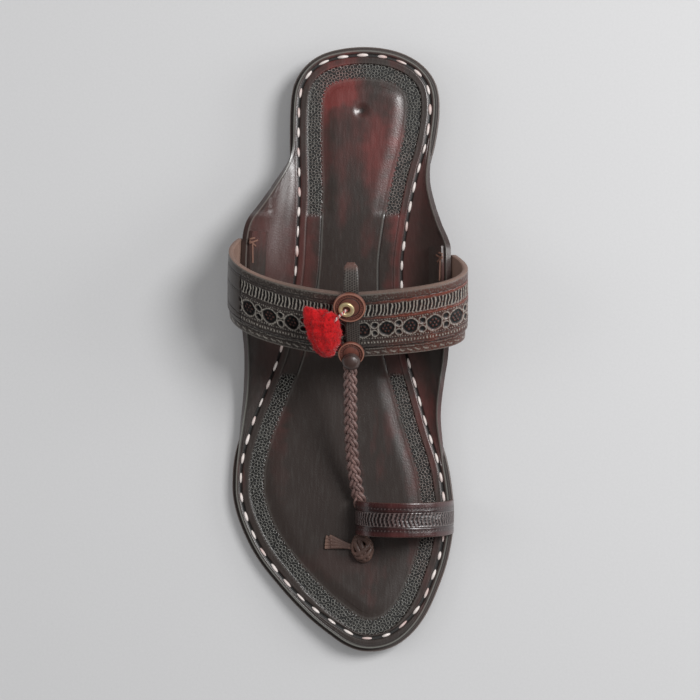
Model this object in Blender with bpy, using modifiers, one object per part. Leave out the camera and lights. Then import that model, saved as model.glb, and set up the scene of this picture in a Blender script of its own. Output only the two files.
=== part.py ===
"""Kolhapuri sandal for the right foot, as a maker puts it together.

Metres, +Z up. The toe points to -Y, the medial side is +X, and the origin is on the
floor below the middle of the sandal. "Lateral" is the outer side of the foot.
"""
from math import acos, cos, pi, sin, sqrt

import bmesh
import bpy
from mathutils import Matrix, Vector

# Sole and heel
LENGTH = 0.275
BALL_WIDTH = 0.1008
OUTSOLE_THICKNESS = 0.0045
INSOLE_THICKNESS = 0.0028
EDGE_CHAMFER = 0.0006
LIFT_THICKNESS = 0.0030
LIFT_INSET = 0.0006
HEEL_BREAST = 0.245
WAIST_END = 0.58
TOE_BREAK = 0.80
TOE_SPRING = 0.0050
PIECE_GAP = 0.0003

# Insole: margin that the outsole shows round it, seam, tooled channel and raised ears
OUTSOLE_MARGIN = 0.0020
SEAM_MARGIN = 0.0042
TOE_SEAM_EXTRA = 0.0022
CHANNEL_START = 0.0080
CHANNEL_WIDTH = 0.0066
CHANNEL_DEPTH = 0.0007
CHANNEL_SLOPE = 0.0006
HEEL_CHANNEL_END = 0.283
FORE_CHANNEL_START = 0.535
CHANNEL_FADE = 0.012
EAR_REACH = 0.0190
EAR_RISE = 0.0170
EAR_RISE_POWER = 1.2

# Instep band: places along are shares of the length, from the heel
BAND_THICKNESS = 0.0025
BAND_STEP = 0.0009
BAND_STEP_AT = 0.84
BAND_STEP_RUN = 0.02
BAND_REAR_LATERAL = 0.320
BAND_FRONT_LATERAL = 0.427
BAND_REAR_MEDIAL = 0.347
BAND_FRONT_MEDIAL = 0.464
BAND_REAR_CROWN = 0.411
BAND_FRONT_CROWN = 0.512
BAND_CROWN_SIDE = 0.030
BAND_REAR_HEIGHT = 0.0608
BAND_FRONT_HEIGHT = 0.0450
BAND_PULL_LATERAL = 0.0195
BAND_PULL_MEDIAL = 0.0278
BAND_TOP_PULL = 0.0360
BAND_LEAN_LATERAL = 0.42
BAND_LEAN_MEDIAL = 0.62
BAND_TOP_LEAN = 0.12
BAND_LAP = 0.38

# Ear patches, where the band is sewn through the ears
PATCH_THICKNESS = 0.0014
PATCH_DEPTH = 0.30
PATCH_TOP = 0.97
PATCH_PAST_BAND = 0.0040

# Plait and toe loop
PLAIT_WIDTH = 0.0064
PLAIT_THICKNESS = 0.0040
PLAIT_PITCH = 0.0141
PLAIT_SIDE_FOOT = 0.042
PLAIT_SIDE_TOP = 0.021
PLAIT_START = 0.97
PLAIT_LEAVE = 0.30
PLAIT_SWERVE = 0.0042
PLAIT_SWERVE_AT = 0.68
PLAIT_SAG = 0.0010
PLAIT_FOOT_RISE = 0.0012
PLAIT_END_SHIFT = 0.0020
PLAIT_TURN = 0.0045
PLAIT_TAPER_RUN = 0.0070
PLAIT_TAPER = 0.55
LOOP_THICKNESS = 0.0016
LOOP_WIDTH = 0.0154
LOOP_CENTRE = 0.776
LOOP_FOOT_SIDE = 0.030
LOOP_HEIGHT = 0.0230
LOOP_MARGIN = 0.40
LOOP_MARGIN_DROP = 0.0003

# One strand of the plait: shares of the plait's width and thickness
STRAND_SWING = 0.25
STRAND_LIFT = 0.19
STRAND_HALF_WIDTH = 0.25
STRAND_HALF_THICKNESS = 0.31
CORE_HALF_WIDTH = 0.30
CORE_HALF_THICKNESS = 0.28

# Trim on the band
STRIP_WIDTH = 0.0065
STRIP_THICKNESS = 0.0012
STRIP_TAIL = 0.0130
STRIP_DROOP = 0.0055
STRIP_SIDE = 0.0008
ROSETTE_RADIUS = 0.0071
ROSETTE_THICKNESS = 0.0014
ROSETTE_FROM_REAR = 0.0047
DISC_RIM = 0.0004
LOWER_ROSETTE_RADIUS = 0.0058
LOWER_ROSETTE_FROM_FRONT = 0.0042
EYELET_RADIUS = 0.0035
EYELET_BORE = 0.0017
EYELET_THICKNESS = 0.0010
EYELET_SIDE = 0.0013
EYELET_LIP = 0.0005
CAP_RADIUS = 0.0041
CAP_HEIGHT = 0.0036
CAP_FORWARD = 0.0032
POMPOM_LENGTH = 0.0215
POMPOM_WIDTH = 0.0146
POMPOM_THICKNESS = 0.0120
POMPOM_SIDE = 0.0105
POMPOM_FROM_REAR = 0.0168
POMPOM_FLAT = 0.94
POMPOM_LEAN = 0.12
THREAD_RADIUS = 0.00055
THREAD_SAG = 0.0006
THREAD_ARCH = 0.0016

# Knot in front of the toe loop
THONG_RADIUS = 0.0017
KNOT_WIDTH = 0.0088
KNOT_LENGTH = 0.0120
KNOT_HEIGHT = 0.0058
KNOT_FLAT = 0.85
KNOT_RIDGE_WIDTH = 0.30
KNOT_RIDGE_RISE = 0.24
TAIL_LENGTH = 0.0172
TAIL_WIDTH = 0.0075
TAIL_THICKNESS = 0.0018
TAIL_LEAN = 0.20

# Outline of the sole: share of the length from the heel, then the two sides' places
# across as shares of the ball width
HEEL_APEX = 0.060
TOE_APEX = 0.086
OUTLINE = (
    # along, lateral, medial
    (0.012, -0.127, 0.242),
    (0.030, -0.198, 0.324),
    (0.062, -0.252, 0.388),
    (0.100, -0.268, 0.404),
    (0.160, -0.271, 0.385),
    (0.230, -0.267, 0.335),
    (0.300, -0.274, 0.298),
    (0.375, -0.289, 0.275),
    (0.440, -0.320, 0.277),
    (0.500, -0.360, 0.294),
    (0.560, -0.423, 0.337),
    (0.620, -0.488, 0.382),
    (0.690, -0.538, 0.440),
    (0.730, -0.543, 0.458),
    (0.770, -0.526, 0.467),
    (0.800, -0.497, 0.463),
    (0.840, -0.442, 0.445),
    (0.900, -0.314, 0.391),
    (0.945, -0.193, 0.331),
    (0.975, -0.088, 0.262),
    (0.990, -0.024, 0.203),
)

# Reach of the ears beyond the sole's outline, as shares of the full reach
EARS = (
    # along, lateral, medial
    (0.140, 0.00, 0.00),
    (0.190, 0.10, 0.06),
    (0.227, 0.38, 0.17),
    (0.260, 0.66, 0.36),
    (0.295, 0.94, 0.61),
    (0.340, 1.00, 0.93),
    (0.400, 0.94, 0.97),
    (0.460, 0.78, 0.91),
    (0.510, 0.56, 0.76),
    (0.550, 0.37, 0.51),
    (0.600, 0.17, 0.24),
    (0.650, 0.05, 0.09),
    (0.700, 0.00, 0.00),
)

RING_POINTS = 128
LATERAL = -1
MEDIAL = 1


def material(name, colour, roughness, metallic=0.0):
    """A plain material in the piece's own colour."""
    made = bpy.data.materials.new(name)
    made.use_nodes = True
    shader = made.node_tree.nodes["Principled BSDF"]
    shader.inputs["Base Color"].default_value = (*colour, 1.0)
    shader.inputs["Roughness"].default_value = roughness
    shader.inputs["Metallic"].default_value = metallic
    return made


def follow(knots, values, at):
    """A smooth curve through a short table that never overshoots its rows."""
    if at <= knots[0]:
        return values[0]
    if at >= knots[-1]:
        return values[-1]
    spans = [b - a for a, b in zip(knots, knots[1:])]
    grades = [(b - a) / span for a, b, span in zip(values, values[1:], spans)]
    row = max(i for i, knot in enumerate(knots[:-1]) if knot <= at)

    def slope(i):
        if i == 0 or i == len(grades):
            return 0.0
        before, after = grades[i - 1], grades[i]
        if before * after <= 0.0:
            return 0.0
        even = (spans[i] * before + spans[i - 1] * after) / (spans[i - 1] + spans[i])
        steepest = 3.0 * min(abs(before), abs(after))
        return max(-steepest, min(steepest, even))

    span = spans[row]
    t = (at - knots[row]) / span
    start = values[row] * (1 + 2 * t) * (1 - t) ** 2 + span * slope(row) * t * (1 - t) ** 2
    end = values[row + 1] * t * t * (3 - 2 * t) - span * slope(row + 1) * t * t * (1 - t)
    return start + end


def ramp(low, high, at):
    """0 below low, 1 above high, and an even curve between them."""
    t = min(max((at - low) / (high - low), 0.0), 1.0)
    return t * t * (3 - 2 * t)


def bezier(points, t):
    """A point on the curve of four control points."""
    a, b, c, d = points
    s = 1.0 - t
    return a * s ** 3 + b * 3 * s * s * t + c * 3 * s * t * t + d * t ** 3


# The sole's outline as one closed curve of an angle: 0 at the heel, pi at the toe,
# the lateral side first


def angle_at(along, side=LATERAL):
    """Angle of the outline at a share of the length."""
    angle = acos(1.0 - 2.0 * along)
    return angle if side == LATERAL else 2.0 * pi - angle


def outline_rows():
    rows = [(0.0, HEEL_APEX)]
    rows += [(angle_at(along), lateral) for along, lateral, medial in OUTLINE]
    rows += [(pi, TOE_APEX)]
    rows += [(angle_at(along, MEDIAL), medial) for along, lateral, medial in reversed(OUTLINE)]
    before = [(angle - 2.0 * pi, share) for angle, share in rows[-3:]]
    after = [(angle + 2.0 * pi, share) for angle, share in rows[:4]]
    return before + rows + after


OUTLINE_ROWS = outline_rows()
OUTLINE_ANGLES = [angle for angle, share in OUTLINE_ROWS]
OUTLINE_SHARES = [share for angle, share in OUTLINE_ROWS]


def outline(angle):
    """A point of the sole's outline in plan."""
    share = follow(OUTLINE_ANGLES, OUTLINE_SHARES, angle % (2.0 * pi))
    return Vector((share * BALL_WIDTH, 0.5 * LENGTH * cos(angle), 0.0))


def inset(angle, distance):
    """The outline moved inwards, square to its edge."""
    step = 0.02
    run = (outline(angle + step) - outline(angle - step)).normalized()
    return outline(angle) + Vector((-run.y, run.x, 0.0)) * distance


def share_of(y):
    return 0.5 - y / LENGTH


def y_of(along):
    return (0.5 - along) * LENGTH


HEEL_HEIGHT = 3 * (LIFT_THICKNESS + PIECE_GAP)


def outsole_bottom(y):
    """Height of the outsole's underside: heel seat, waist, flat forefoot, toe spring."""
    along = share_of(y)
    heel = HEEL_HEIGHT * (1.0 - ramp(HEEL_BREAST, WAIST_END, along))
    spring = max(0.0, (along - TOE_BREAK) / (1.0 - TOE_BREAK))
    return heel + TOE_SPRING * spring ** 2


def outsole_top(y):
    return outsole_bottom(y) + OUTSOLE_THICKNESS


def insole_top(y):
    return outsole_top(y) + PIECE_GAP + INSOLE_THICKNESS


def side_of(angle):
    return LATERAL if angle % (2.0 * pi) < pi else MEDIAL


def ear_share(angle):
    """How far the ear stands out here, as a share of its full reach."""
    along = share_of(outline(angle).y)
    column = 1 if side_of(angle) == LATERAL else 2
    return follow([row[0] for row in EARS], [row[column] for row in EARS], along)


def seam_distance(angle):
    """Distance of the stitched seam from the outsole's edge, wider at the toe."""
    return SEAM_MARGIN + TOE_SEAM_EXTRA * ramp(0.9, 1.0, share_of(outline(angle).y))


def ear_point(angle, q):
    """The insole's upper face between the seam (q = 0) and its edge (q = 1)."""
    seam = inset(angle, seam_distance(angle))
    share = ear_share(angle)
    edge = inset(angle, OUTSOLE_MARGIN)
    edge.x += side_of(angle) * EAR_REACH * share
    point = seam.lerp(edge, q)
    point.z = insole_top(point.y) + EAR_RISE * share ** EAR_RISE_POWER * q * q
    return point


def ear_out(angle, q):
    """Unit direction square to the ear, away from the foot."""
    step = 0.02
    across = ear_point(angle, q + step) - ear_point(angle, q - step)
    along = ear_point(angle + step, q) - ear_point(angle - step, q)
    square = across.cross(along).normalized()
    return -square if square.z > 0 else square


def ring(place):
    """Points round the outline, place(angle) giving each."""
    return [place(2.0 * pi * i / RING_POINTS) for i in range(RING_POINTS)]


def collection(name):
    made = bpy.data.collections.new(name)
    bpy.context.scene.collection.children.link(made)
    return made


def finish(name, bm, group, finish_material, smooth=True):
    """Turn a bmesh into a named object of the part."""
    bmesh.ops.recalc_face_normals(bm, faces=bm.faces)
    mesh = bpy.data.meshes.new(name)
    bm.to_mesh(mesh)
    bm.free()
    if finish_material:
        mesh.materials.append(finish_material)
    if smooth:
        mesh.shade_smooth()
        mesh.set_sharp_from_angle(angle=0.6)
    made = bpy.data.objects.new(name, mesh)
    group.objects.link(made)
    return made


def bridge(bm, rings, closed_rings=True):
    """Quads between neighbouring rings; returns the rows of vertices."""
    rows = [[bm.verts.new(point) for point in points] for points in rings]
    for lower, upper in zip(rows, rows[1:]):
        count = len(lower)
        for i in range(count if closed_rings else count - 1):
            j = (i + 1) % count
            bm.faces.new((lower[i], lower[j], upper[j], upper[i]))
    return rows


def ladder(bm, row):
    """Close a ring of the sole with rungs that run across the foot."""
    count = len(row)
    half = count // 2
    bm.faces.new((row[0], row[1], row[-1]))
    for i in range(1, half - 1):
        bm.faces.new((row[i], row[i + 1], row[count - i - 1], row[count - i]))
    bm.faces.new((row[half - 1], row[half], row[half + 1]))


def sole_layer(name, rings, group, finish_material):
    """A closed layer of the sole from rings that run from its underside to its top."""
    bm = bmesh.new()
    rows = bridge(bm, rings)
    ladder(bm, rows[0])
    ladder(bm, rows[-1])
    return finish(name, bm, group, finish_material)


def strip(name, sections, group, finish_material, smooth=True):
    """A closed strap from like sections, with flat ends."""
    bm = bmesh.new()
    rows = bridge(bm, sections)
    bm.faces.new(rows[0])
    bm.faces.new(rows[-1])
    return finish(name, bm, group, finish_material, smooth)


# Sole pieces


def build_outsole(group, leather):
    def level(distance, height):
        def place(angle):
            point = inset(angle, distance)
            point.z = outsole_bottom(point.y) + height
            return point
        return ring(place)

    top = OUTSOLE_THICKNESS
    rings = (
        level(EDGE_CHAMFER, 0.0),
        level(0.0, EDGE_CHAMFER),
        level(0.0, top - EDGE_CHAMFER),
        level(EDGE_CHAMFER, top),
    )
    return sole_layer("outsole", rings, group, leather)


def build_lifts(group, leather):
    """Three stacked layers under the heel seat, cut straight at the breast."""
    breast = angle_at(HEEL_BREAST)
    steps = 40
    angles = [-breast + 2.0 * breast * i / steps for i in range(steps + 1)]
    for number, name in enumerate(("heel_top_piece", "heel_lift_middle", "heel_lift_upper")):
        low = number * (LIFT_THICKNESS + PIECE_GAP)
        bm = bmesh.new()
        rings = []
        chamfer = EDGE_CHAMFER if number == 0 else 0.0
        for extra, z in ((chamfer, low), (0.0, low + chamfer), (0.0, low + LIFT_THICKNESS)):
            if rings and extra == 0.0 and z == rings[-1][0].z:
                continue
            points = [inset(angle, LIFT_INSET + extra) for angle in angles]
            rings.append([Vector((point.x, point.y, z)) for point in points])
        rows = bridge(bm, rings)
        bm.faces.new(rows[0])
        bm.faces.new(rows[-1])
        finish(name, bm, group, leather)


def channel_depth(angle, distance):
    along = share_of(inset(angle, distance).y)
    heel = 1.0 - ramp(HEEL_CHANNEL_END - CHANNEL_FADE, HEEL_CHANNEL_END, along)
    fore = ramp(FORE_CHANNEL_START, FORE_CHANNEL_START + CHANNEL_FADE, along)
    return CHANNEL_DEPTH * max(heel, fore)


def build_insole(group, leather):
    """Upper sole with its two ears turned up, and the tooled border pressed in."""
    ear_steps = (1.0, 0.8, 0.55, 0.3, 0.0)

    def ear_ring(q, thickness):
        def place(angle):
            return ear_point(angle, q) + ear_out(angle, q) * thickness
        return ring(place)

    def inner_ring(distance, sunk):
        def place(angle):
            point = inset(angle, distance)
            point.z = insole_top(point.y)
            point.z -= channel_depth(angle, distance) if sunk else 0.0
            return point
        return ring(place)

    channel_end = CHANNEL_START + CHANNEL_WIDTH
    below = [ear_ring(q, INSOLE_THICKNESS) for q in reversed(ear_steps)]
    above = [ear_ring(q, 0.0) for q in ear_steps]
    inner = [
        inner_ring(CHANNEL_START, False),
        inner_ring(CHANNEL_START + CHANNEL_SLOPE, True),
        inner_ring(channel_end - CHANNEL_SLOPE, True),
        inner_ring(channel_end, False),
    ]
    return sole_layer("insole", below + above + inner, group, leather)


# Instep band


def band_line(share, side):
    """One line of the band, from its lap outside an ear up to the crown, and that
    ear's angle; share 0 is the rear edge and 1 the front edge."""
    rear, front, side_pull, lean = {
        LATERAL: (BAND_REAR_LATERAL, BAND_FRONT_LATERAL, BAND_PULL_LATERAL, BAND_LEAN_LATERAL),
        MEDIAL: (BAND_REAR_MEDIAL, BAND_FRONT_MEDIAL, BAND_PULL_MEDIAL, BAND_LEAN_MEDIAL),
    }[side]
    angle = angle_at(rear + (front - rear) * share, side)
    away = INSOLE_THICKNESS + PIECE_GAP + 0.5 * BAND_THICKNESS
    lap = [ear_point(angle, q) + ear_out(angle, q) * away
           for q in (1.0 - BAND_LAP, 1.0 - 0.5 * BAND_LAP, 1.0)]
    crown = crown_point(share)
    first = lap[2] + (lap[2] - lap[1]).normalized() * side_pull
    first.y = lap[2].y + (crown.y - lap[2].y) * lean
    second = crown + Vector((side * BAND_TOP_PULL, (lap[2].y - crown.y) * BAND_TOP_LEAN, 0.0))
    steps = 14
    rise = [bezier((lap[2], first, second, crown), i / steps) for i in range(1, steps)]
    return lap + rise


def crown_point(share):
    """The band's middle surface at its highest line."""
    along = BAND_REAR_CROWN + (BAND_FRONT_CROWN - BAND_REAR_CROWN) * share
    height = BAND_REAR_HEIGHT + (BAND_FRONT_HEIGHT - BAND_REAR_HEIGHT) * share
    return Vector((BAND_CROWN_SIDE * BALL_WIDTH, y_of(along), height))


def band_row(share):
    """A whole line of the band, lateral end to medial end."""
    medial = band_line(share, MEDIAL)
    return band_line(share, LATERAL) + [crown_point(share)] + medial[::-1]


def band_outward(row, neighbour, i):
    """Direction square to the band's surface, away from the foot."""
    run = row[min(i + 1, len(row) - 1)] - row[max(i - 1, 0)]
    across = neighbour[i] - row[i]
    return across.cross(run).normalized()


def build_band(group, leather):
    """The band as one wall, thinner along the front where its top layer stops."""
    half = 0.5 * BAND_THICKNESS
    step_end = BAND_STEP_AT + BAND_STEP_RUN
    upper = ((0.0, half), (0.3, half), (0.6, half), (BAND_STEP_AT, half),
             (step_end, half - BAND_STEP), (1.0, half - BAND_STEP))
    lower = ((1.0, -half), (0.66, -half), (0.33, -half), (0.0, -half))
    profile = upper + lower
    nudge = 0.05
    rows = [(band_row(share), band_row(share + nudge), height) for share, height in profile]
    stations = len(rows[0][0])
    sections = []
    for i in range(stations):
        section = [row[i] + band_outward(row, beside, i) * height
                   for row, beside, height in rows]
        sections.append(section)
    return strip("upper", sections, group, leather)


def crown_frame(share, lift):
    """Axes on the band's crown: X across, Y up the slope to the rear, Z off the leather."""
    slope = (crown_point(0.0) - crown_point(1.0)).normalized()
    across = Vector((1.0, 0.0, 0.0))
    off = across.cross(slope)
    place = crown_point(share) + off * (0.5 * BAND_THICKNESS + lift)
    frame = Matrix((across, slope, off)).transposed().to_4x4()
    return Matrix.Translation(place) @ frame


def crown_width():
    return (crown_point(0.0) - crown_point(1.0)).length


def beside_crown(share, across):
    """A point of the band's middle surface at a distance across from its crown line."""
    row = band_row(share)
    x = crown_point(share).x + across
    middle = len(row) // 2
    step = 1 if across > 0.0 else -1
    i = middle
    while (row[i + step].x - x) * step < 0.0:
        i += step
    a, b = row[i], row[i + step]
    return a.lerp(b, (x - a.x) / (b.x - a.x))


def side_frame(share, across, lift):
    """Axes on the band beside its crown line, like those of crown_frame."""
    reach = 0.003
    run = beside_crown(share, across + reach) - beside_crown(share, across - reach)
    run.normalize()
    slope = beside_crown(share - 0.1, across) - beside_crown(share + 0.1, across)
    off = run.cross(slope).normalized()
    slope = off.cross(run)
    place = beside_crown(share, across) + off * (0.5 * BAND_THICKNESS + lift)
    return Matrix.Translation(place) @ Matrix((run, slope, off)).transposed().to_4x4()


# Plait and toe loop


def plait_route():
    """Start in the band's front edge, down to the insole and on under the loop."""
    start = crown_point(PLAIT_START)
    start.x = PLAIT_SIDE_TOP * BALL_WIDTH
    slope = (crown_point(1.0) - crown_point(0.9)).normalized()
    half = 0.5 * PLAIT_THICKNESS
    foot_y = y_of(LOOP_CENTRE) + 0.5 * LOOP_WIDTH
    foot = Vector((PLAIT_SIDE_FOOT * BALL_WIDTH, foot_y, 0.0))
    foot.z = insole_top(foot_y) + PIECE_GAP + half + PLAIT_FOOT_RISE
    end = Vector((foot.x + PLAIT_END_SHIFT, foot_y - LOOP_WIDTH, 0.0))
    end.z = insole_top(end.y) + PIECE_GAP + half
    fall = (foot - start).length
    before_foot = start.lerp(foot, PLAIT_SWERVE_AT)
    before_foot += Vector((-PLAIT_SWERVE, 0.0, -PLAIT_SAG))
    down = (foot - before_foot).normalized()
    steps = 54
    curve = (start, start + slope * PLAIT_LEAVE * fall, before_foot, foot)
    route = [bezier(curve, i / steps) for i in range(steps + 1)]
    flat = (foot, foot + down * PLAIT_TURN, end + Vector((0.0, PLAIT_TURN, 0.0)), end)
    steps = 12
    return route + [bezier(flat, i / steps) for i in range(1, steps + 1)]


def strand_reach(offset, half, direction):
    """How far a ray from the middle of the plait runs before it leaves one strand."""
    ox, oz = offset[0] / half[0], offset[1] / half[1]
    dx, dz = direction[0] / half[0], direction[1] / half[1]
    a = dx * dx + dz * dz
    b = dx * ox + dz * oz
    root = b * b - a * (ox * ox + oz * oz - 1.0)
    if root < 0.0:
        return 0.0
    return (b + sqrt(root)) / a


def plait_section(travel, direction):
    """Outer reach of three strands that cross in turn, in one direction."""
    swing = STRAND_SWING * PLAIT_WIDTH
    lift = STRAND_LIFT * PLAIT_THICKNESS
    half = (STRAND_HALF_WIDTH * PLAIT_WIDTH, STRAND_HALF_THICKNESS * PLAIT_THICKNESS)
    core = (CORE_HALF_WIDTH * PLAIT_WIDTH, CORE_HALF_THICKNESS * PLAIT_THICKNESS)
    reach = strand_reach((0.0, 0.0), core, direction)
    for strand in range(3):
        phase = 2.0 * pi * (travel / PLAIT_PITCH + strand / 3.0)
        offset = (swing * sin(phase), lift * sin(2.0 * phase))
        reach = max(reach, strand_reach(offset, half, direction))
    return reach


def build_plait(group):
    route = plait_route()
    points_round = 14
    sections = []
    travel = 0.0
    for i, point in enumerate(route):
        if i:
            travel += (point - route[i - 1]).length
        run = (route[min(i + 1, len(route) - 1)] - route[max(i - 1, 0)]).normalized()
        across = Vector((1.0, 0.0, 0.0))
        across = (across - run * across.dot(run)).normalized()
        up = run.cross(across) * -1.0
        thin = PLAIT_TAPER + (1.0 - PLAIT_TAPER) * ramp(0.0, PLAIT_TAPER_RUN, travel)
        section = []
        for k in range(points_round):
            turn = 2.0 * pi * k / points_round
            direction = (cos(turn), sin(turn))
            reach = plait_section(travel, direction)
            section.append(point + across * direction[0] * reach
                           + up * direction[1] * reach * thin)
        sections.append(section)
    return strip("plait_strand", sections, group, None)


def loop_route():
    """Toe loop from the outsole's medial margin over the big toe to the plait."""
    y = y_of(LOOP_CENTRE)
    edge = outline(angle_at(LOOP_CENTRE, MEDIAL)).x
    start = Vector((edge - OUTSOLE_MARGIN + PIECE_GAP + 0.5 * LOOP_THICKNESS, y, 0.0))
    start.z = outsole_top(y) + PIECE_GAP
    end = Vector((LOOP_FOOT_SIDE * BALL_WIDTH, y, insole_top(y) + PIECE_GAP))
    crown = insole_top(y) + LOOP_HEIGHT
    pull = (8.0 * crown - start.z - end.z) / 6.0
    first = Vector((start.x, y, pull))
    second = Vector((end.x, y, pull))
    steps = 20
    return [bezier((start, first, second, end), i / steps) for i in range(steps + 1)]


def build_toe_loop(group):
    """Flat strap whose two margins stand a little lower than its tooled middle."""
    route = loop_route()
    half = 0.5 * LOOP_THICKNESS
    side = 0.5 * LOOP_WIDTH
    low = half - LOOP_MARGIN_DROP
    outer = (1.0 - LOOP_MARGIN) * side + 0.5 * LOOP_MARGIN_DROP
    inner = (1.0 - LOOP_MARGIN) * side - 0.5 * LOOP_MARGIN_DROP
    profile = ((-side, low), (-outer, low), (-inner, half), (inner, half), (outer, low),
               (side, low), (side, -half), (-side, -half))
    sections = []
    for i, point in enumerate(route):
        run = route[min(i + 1, len(route) - 1)] - route[max(i - 1, 0)]
        off = Vector((run.z, 0.0, -run.x)).normalized()
        sections.append([point + Vector((0.0, y, 0.0)) + off * height for y, height in profile])
    return strip("toe_loop_strap", sections, group, None)


def join(base, other):
    """Fuse a second form into the base."""
    other.hide_render = True
    other.display_type = "WIRE"
    fuse = base.modifiers.new("join_" + other.name, "BOOLEAN")
    fuse.operation = "UNION"
    fuse.solver = "EXACT"
    fuse.use_self = True
    fuse.object = other


def build_upper(group, forms, leather):
    """Band, plaited centre strap and toe loop, joined where they meet."""
    upper = build_band(group, leather)
    join(upper, build_toe_loop(forms))
    join(upper, build_plait(forms))
    return upper


def build_patch(name, side, group, leather):
    """Leather strip inside an ear, under the stitches that hold the band."""
    if side == LATERAL:
        rear, front = BAND_REAR_LATERAL, BAND_FRONT_LATERAL
    else:
        rear, front = BAND_REAR_MEDIAL, BAND_FRONT_MEDIAL
    rear -= PATCH_PAST_BAND / LENGTH
    steps = 10
    sections = []
    for i in range(steps + 1):
        angle = angle_at(rear + (front - rear) * i / steps, side)
        low = PATCH_TOP - PATCH_DEPTH
        levels = (low, 0.5 * (low + PATCH_TOP), PATCH_TOP)
        near = [ear_point(angle, q) - ear_out(angle, q) * PIECE_GAP for q in levels]
        away = PIECE_GAP + PATCH_THICKNESS
        far = [ear_point(angle, q) - ear_out(angle, q) * away for q in reversed(levels)]
        sections.append(near + far)
    return strip(name, sections, group, leather)


# Trim on the crown


def turned(name, profile, frame, group, finish_material, closed=False):
    """A turned piece: its profile runs from the top, down the outside."""
    mesh = bpy.data.meshes.new(name)
    edges = [(i, i + 1) for i in range(len(profile) - 1)]
    if closed:
        edges.append((len(profile) - 1, 0))
    mesh.from_pydata([(radius, 0.0, height) for radius, height in profile], edges, [])
    mesh.materials.append(finish_material)
    made = bpy.data.objects.new(name, mesh)
    made.matrix_world = frame
    group.objects.link(made)
    screw = made.modifiers.new("turn", "SCREW")
    screw.steps = 24
    screw.render_steps = 24
    screw.use_merge_vertices = True
    screw.merge_threshold = 0.00002
    screw.use_smooth_shade = True
    return made


def build_strip(group, leather):
    """The centre strap's upper end: it lies on the band and its tail stands out behind."""
    lift = PIECE_GAP
    frame = crown_frame(0.0, lift) @ Matrix.Translation((STRIP_SIDE, 0.0, 0.0))
    width = crown_width()
    half = 0.5 * STRIP_WIDTH
    stations = (
        # place up the slope, share of the half width, share of the droop
        (-width, 0.8, 0.0),
        (-0.5 * width, 1.0, 0.0),
        (0.0, 1.0, 0.0),
        (0.35 * STRIP_TAIL, 1.05, 0.13),
        (0.70 * STRIP_TAIL, 1.0, 0.51),
        (0.90 * STRIP_TAIL, 0.9, 0.82),
        (1.00 * STRIP_TAIL, 0.55, 1.0),
    )
    sections = []
    for place, share, drooped in stations:
        side = half * share
        fall = drooped * STRIP_DROOP
        corners = ((-side, 0.25), (-0.8 * side, 1.0), (0.8 * side, 1.0), (side, 0.25),
                   (0.8 * side, 0.0), (-0.8 * side, 0.0))
        sections.append([frame @ Vector((x, place, z * STRIP_THICKNESS - fall))
                         for x, z in corners])
    return strip("centre_strip", sections, group, leather)


def disc_profile(radius, thickness):
    """A disc with a raised rim and a low ring round its middle."""
    rim = DISC_RIM
    return (
        (0.0, thickness), (0.60 * radius, thickness), (0.66 * radius, thickness - rim),
        (0.80 * radius, thickness - rim), (0.86 * radius, thickness + rim),
        (0.96 * radius, thickness + rim), (radius, thickness - rim), (radius, rim),
        (0.97 * radius, 0.0), (0.0, 0.0),
    )


def build_trim(group, disc_leather, brass, leather):
    """Rosette, eyelet, lower rosette and the cap where the plait begins."""
    width = crown_width()
    lift = 2.0 * PIECE_GAP + STRIP_THICKNESS
    rosette = crown_frame(ROSETTE_FROM_REAR / width, lift)
    turned("rosette", disc_profile(ROSETTE_RADIUS, ROSETTE_THICKNESS), rosette, group,
           disc_leather)

    top = ROSETTE_THICKNESS + PIECE_GAP
    eyelet = rosette @ Matrix.Translation((-EYELET_SIDE, -0.6 * EYELET_SIDE, top))
    thick = EYELET_THICKNESS
    ring_profile = (
        (EYELET_BORE, thick - EYELET_LIP), (EYELET_BORE + EYELET_LIP, thick),
        (EYELET_RADIUS - 1.5 * EYELET_LIP, thick), (EYELET_RADIUS, thick - EYELET_LIP),
        (EYELET_RADIUS, 0.0), (EYELET_BORE, 0.0),
    )
    turned("eyelet", ring_profile, eyelet, group, brass, closed=True)

    lower = crown_frame(1.0 - LOWER_ROSETTE_FROM_FRONT / width, lift)
    turned("lower_rosette", disc_profile(LOWER_ROSETTE_RADIUS, ROSETTE_THICKNESS), lower,
           group, disc_leather)

    cap_lift = ROSETTE_THICKNESS + DISC_RIM + PIECE_GAP
    cap_place = lower @ Matrix.Translation((0.0, -CAP_FORWARD, cap_lift))
    steps = 6
    dome = [(CAP_RADIUS * sin(0.5 * pi * i / steps), CAP_HEIGHT * cos(0.5 * pi * i / steps))
            for i in range(steps + 1)]
    dome[0] = (0.0, CAP_HEIGHT)
    turned("plait_cap", dome + [(0.0, 0.0)], cap_place, group, leather)
    return eyelet


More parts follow.
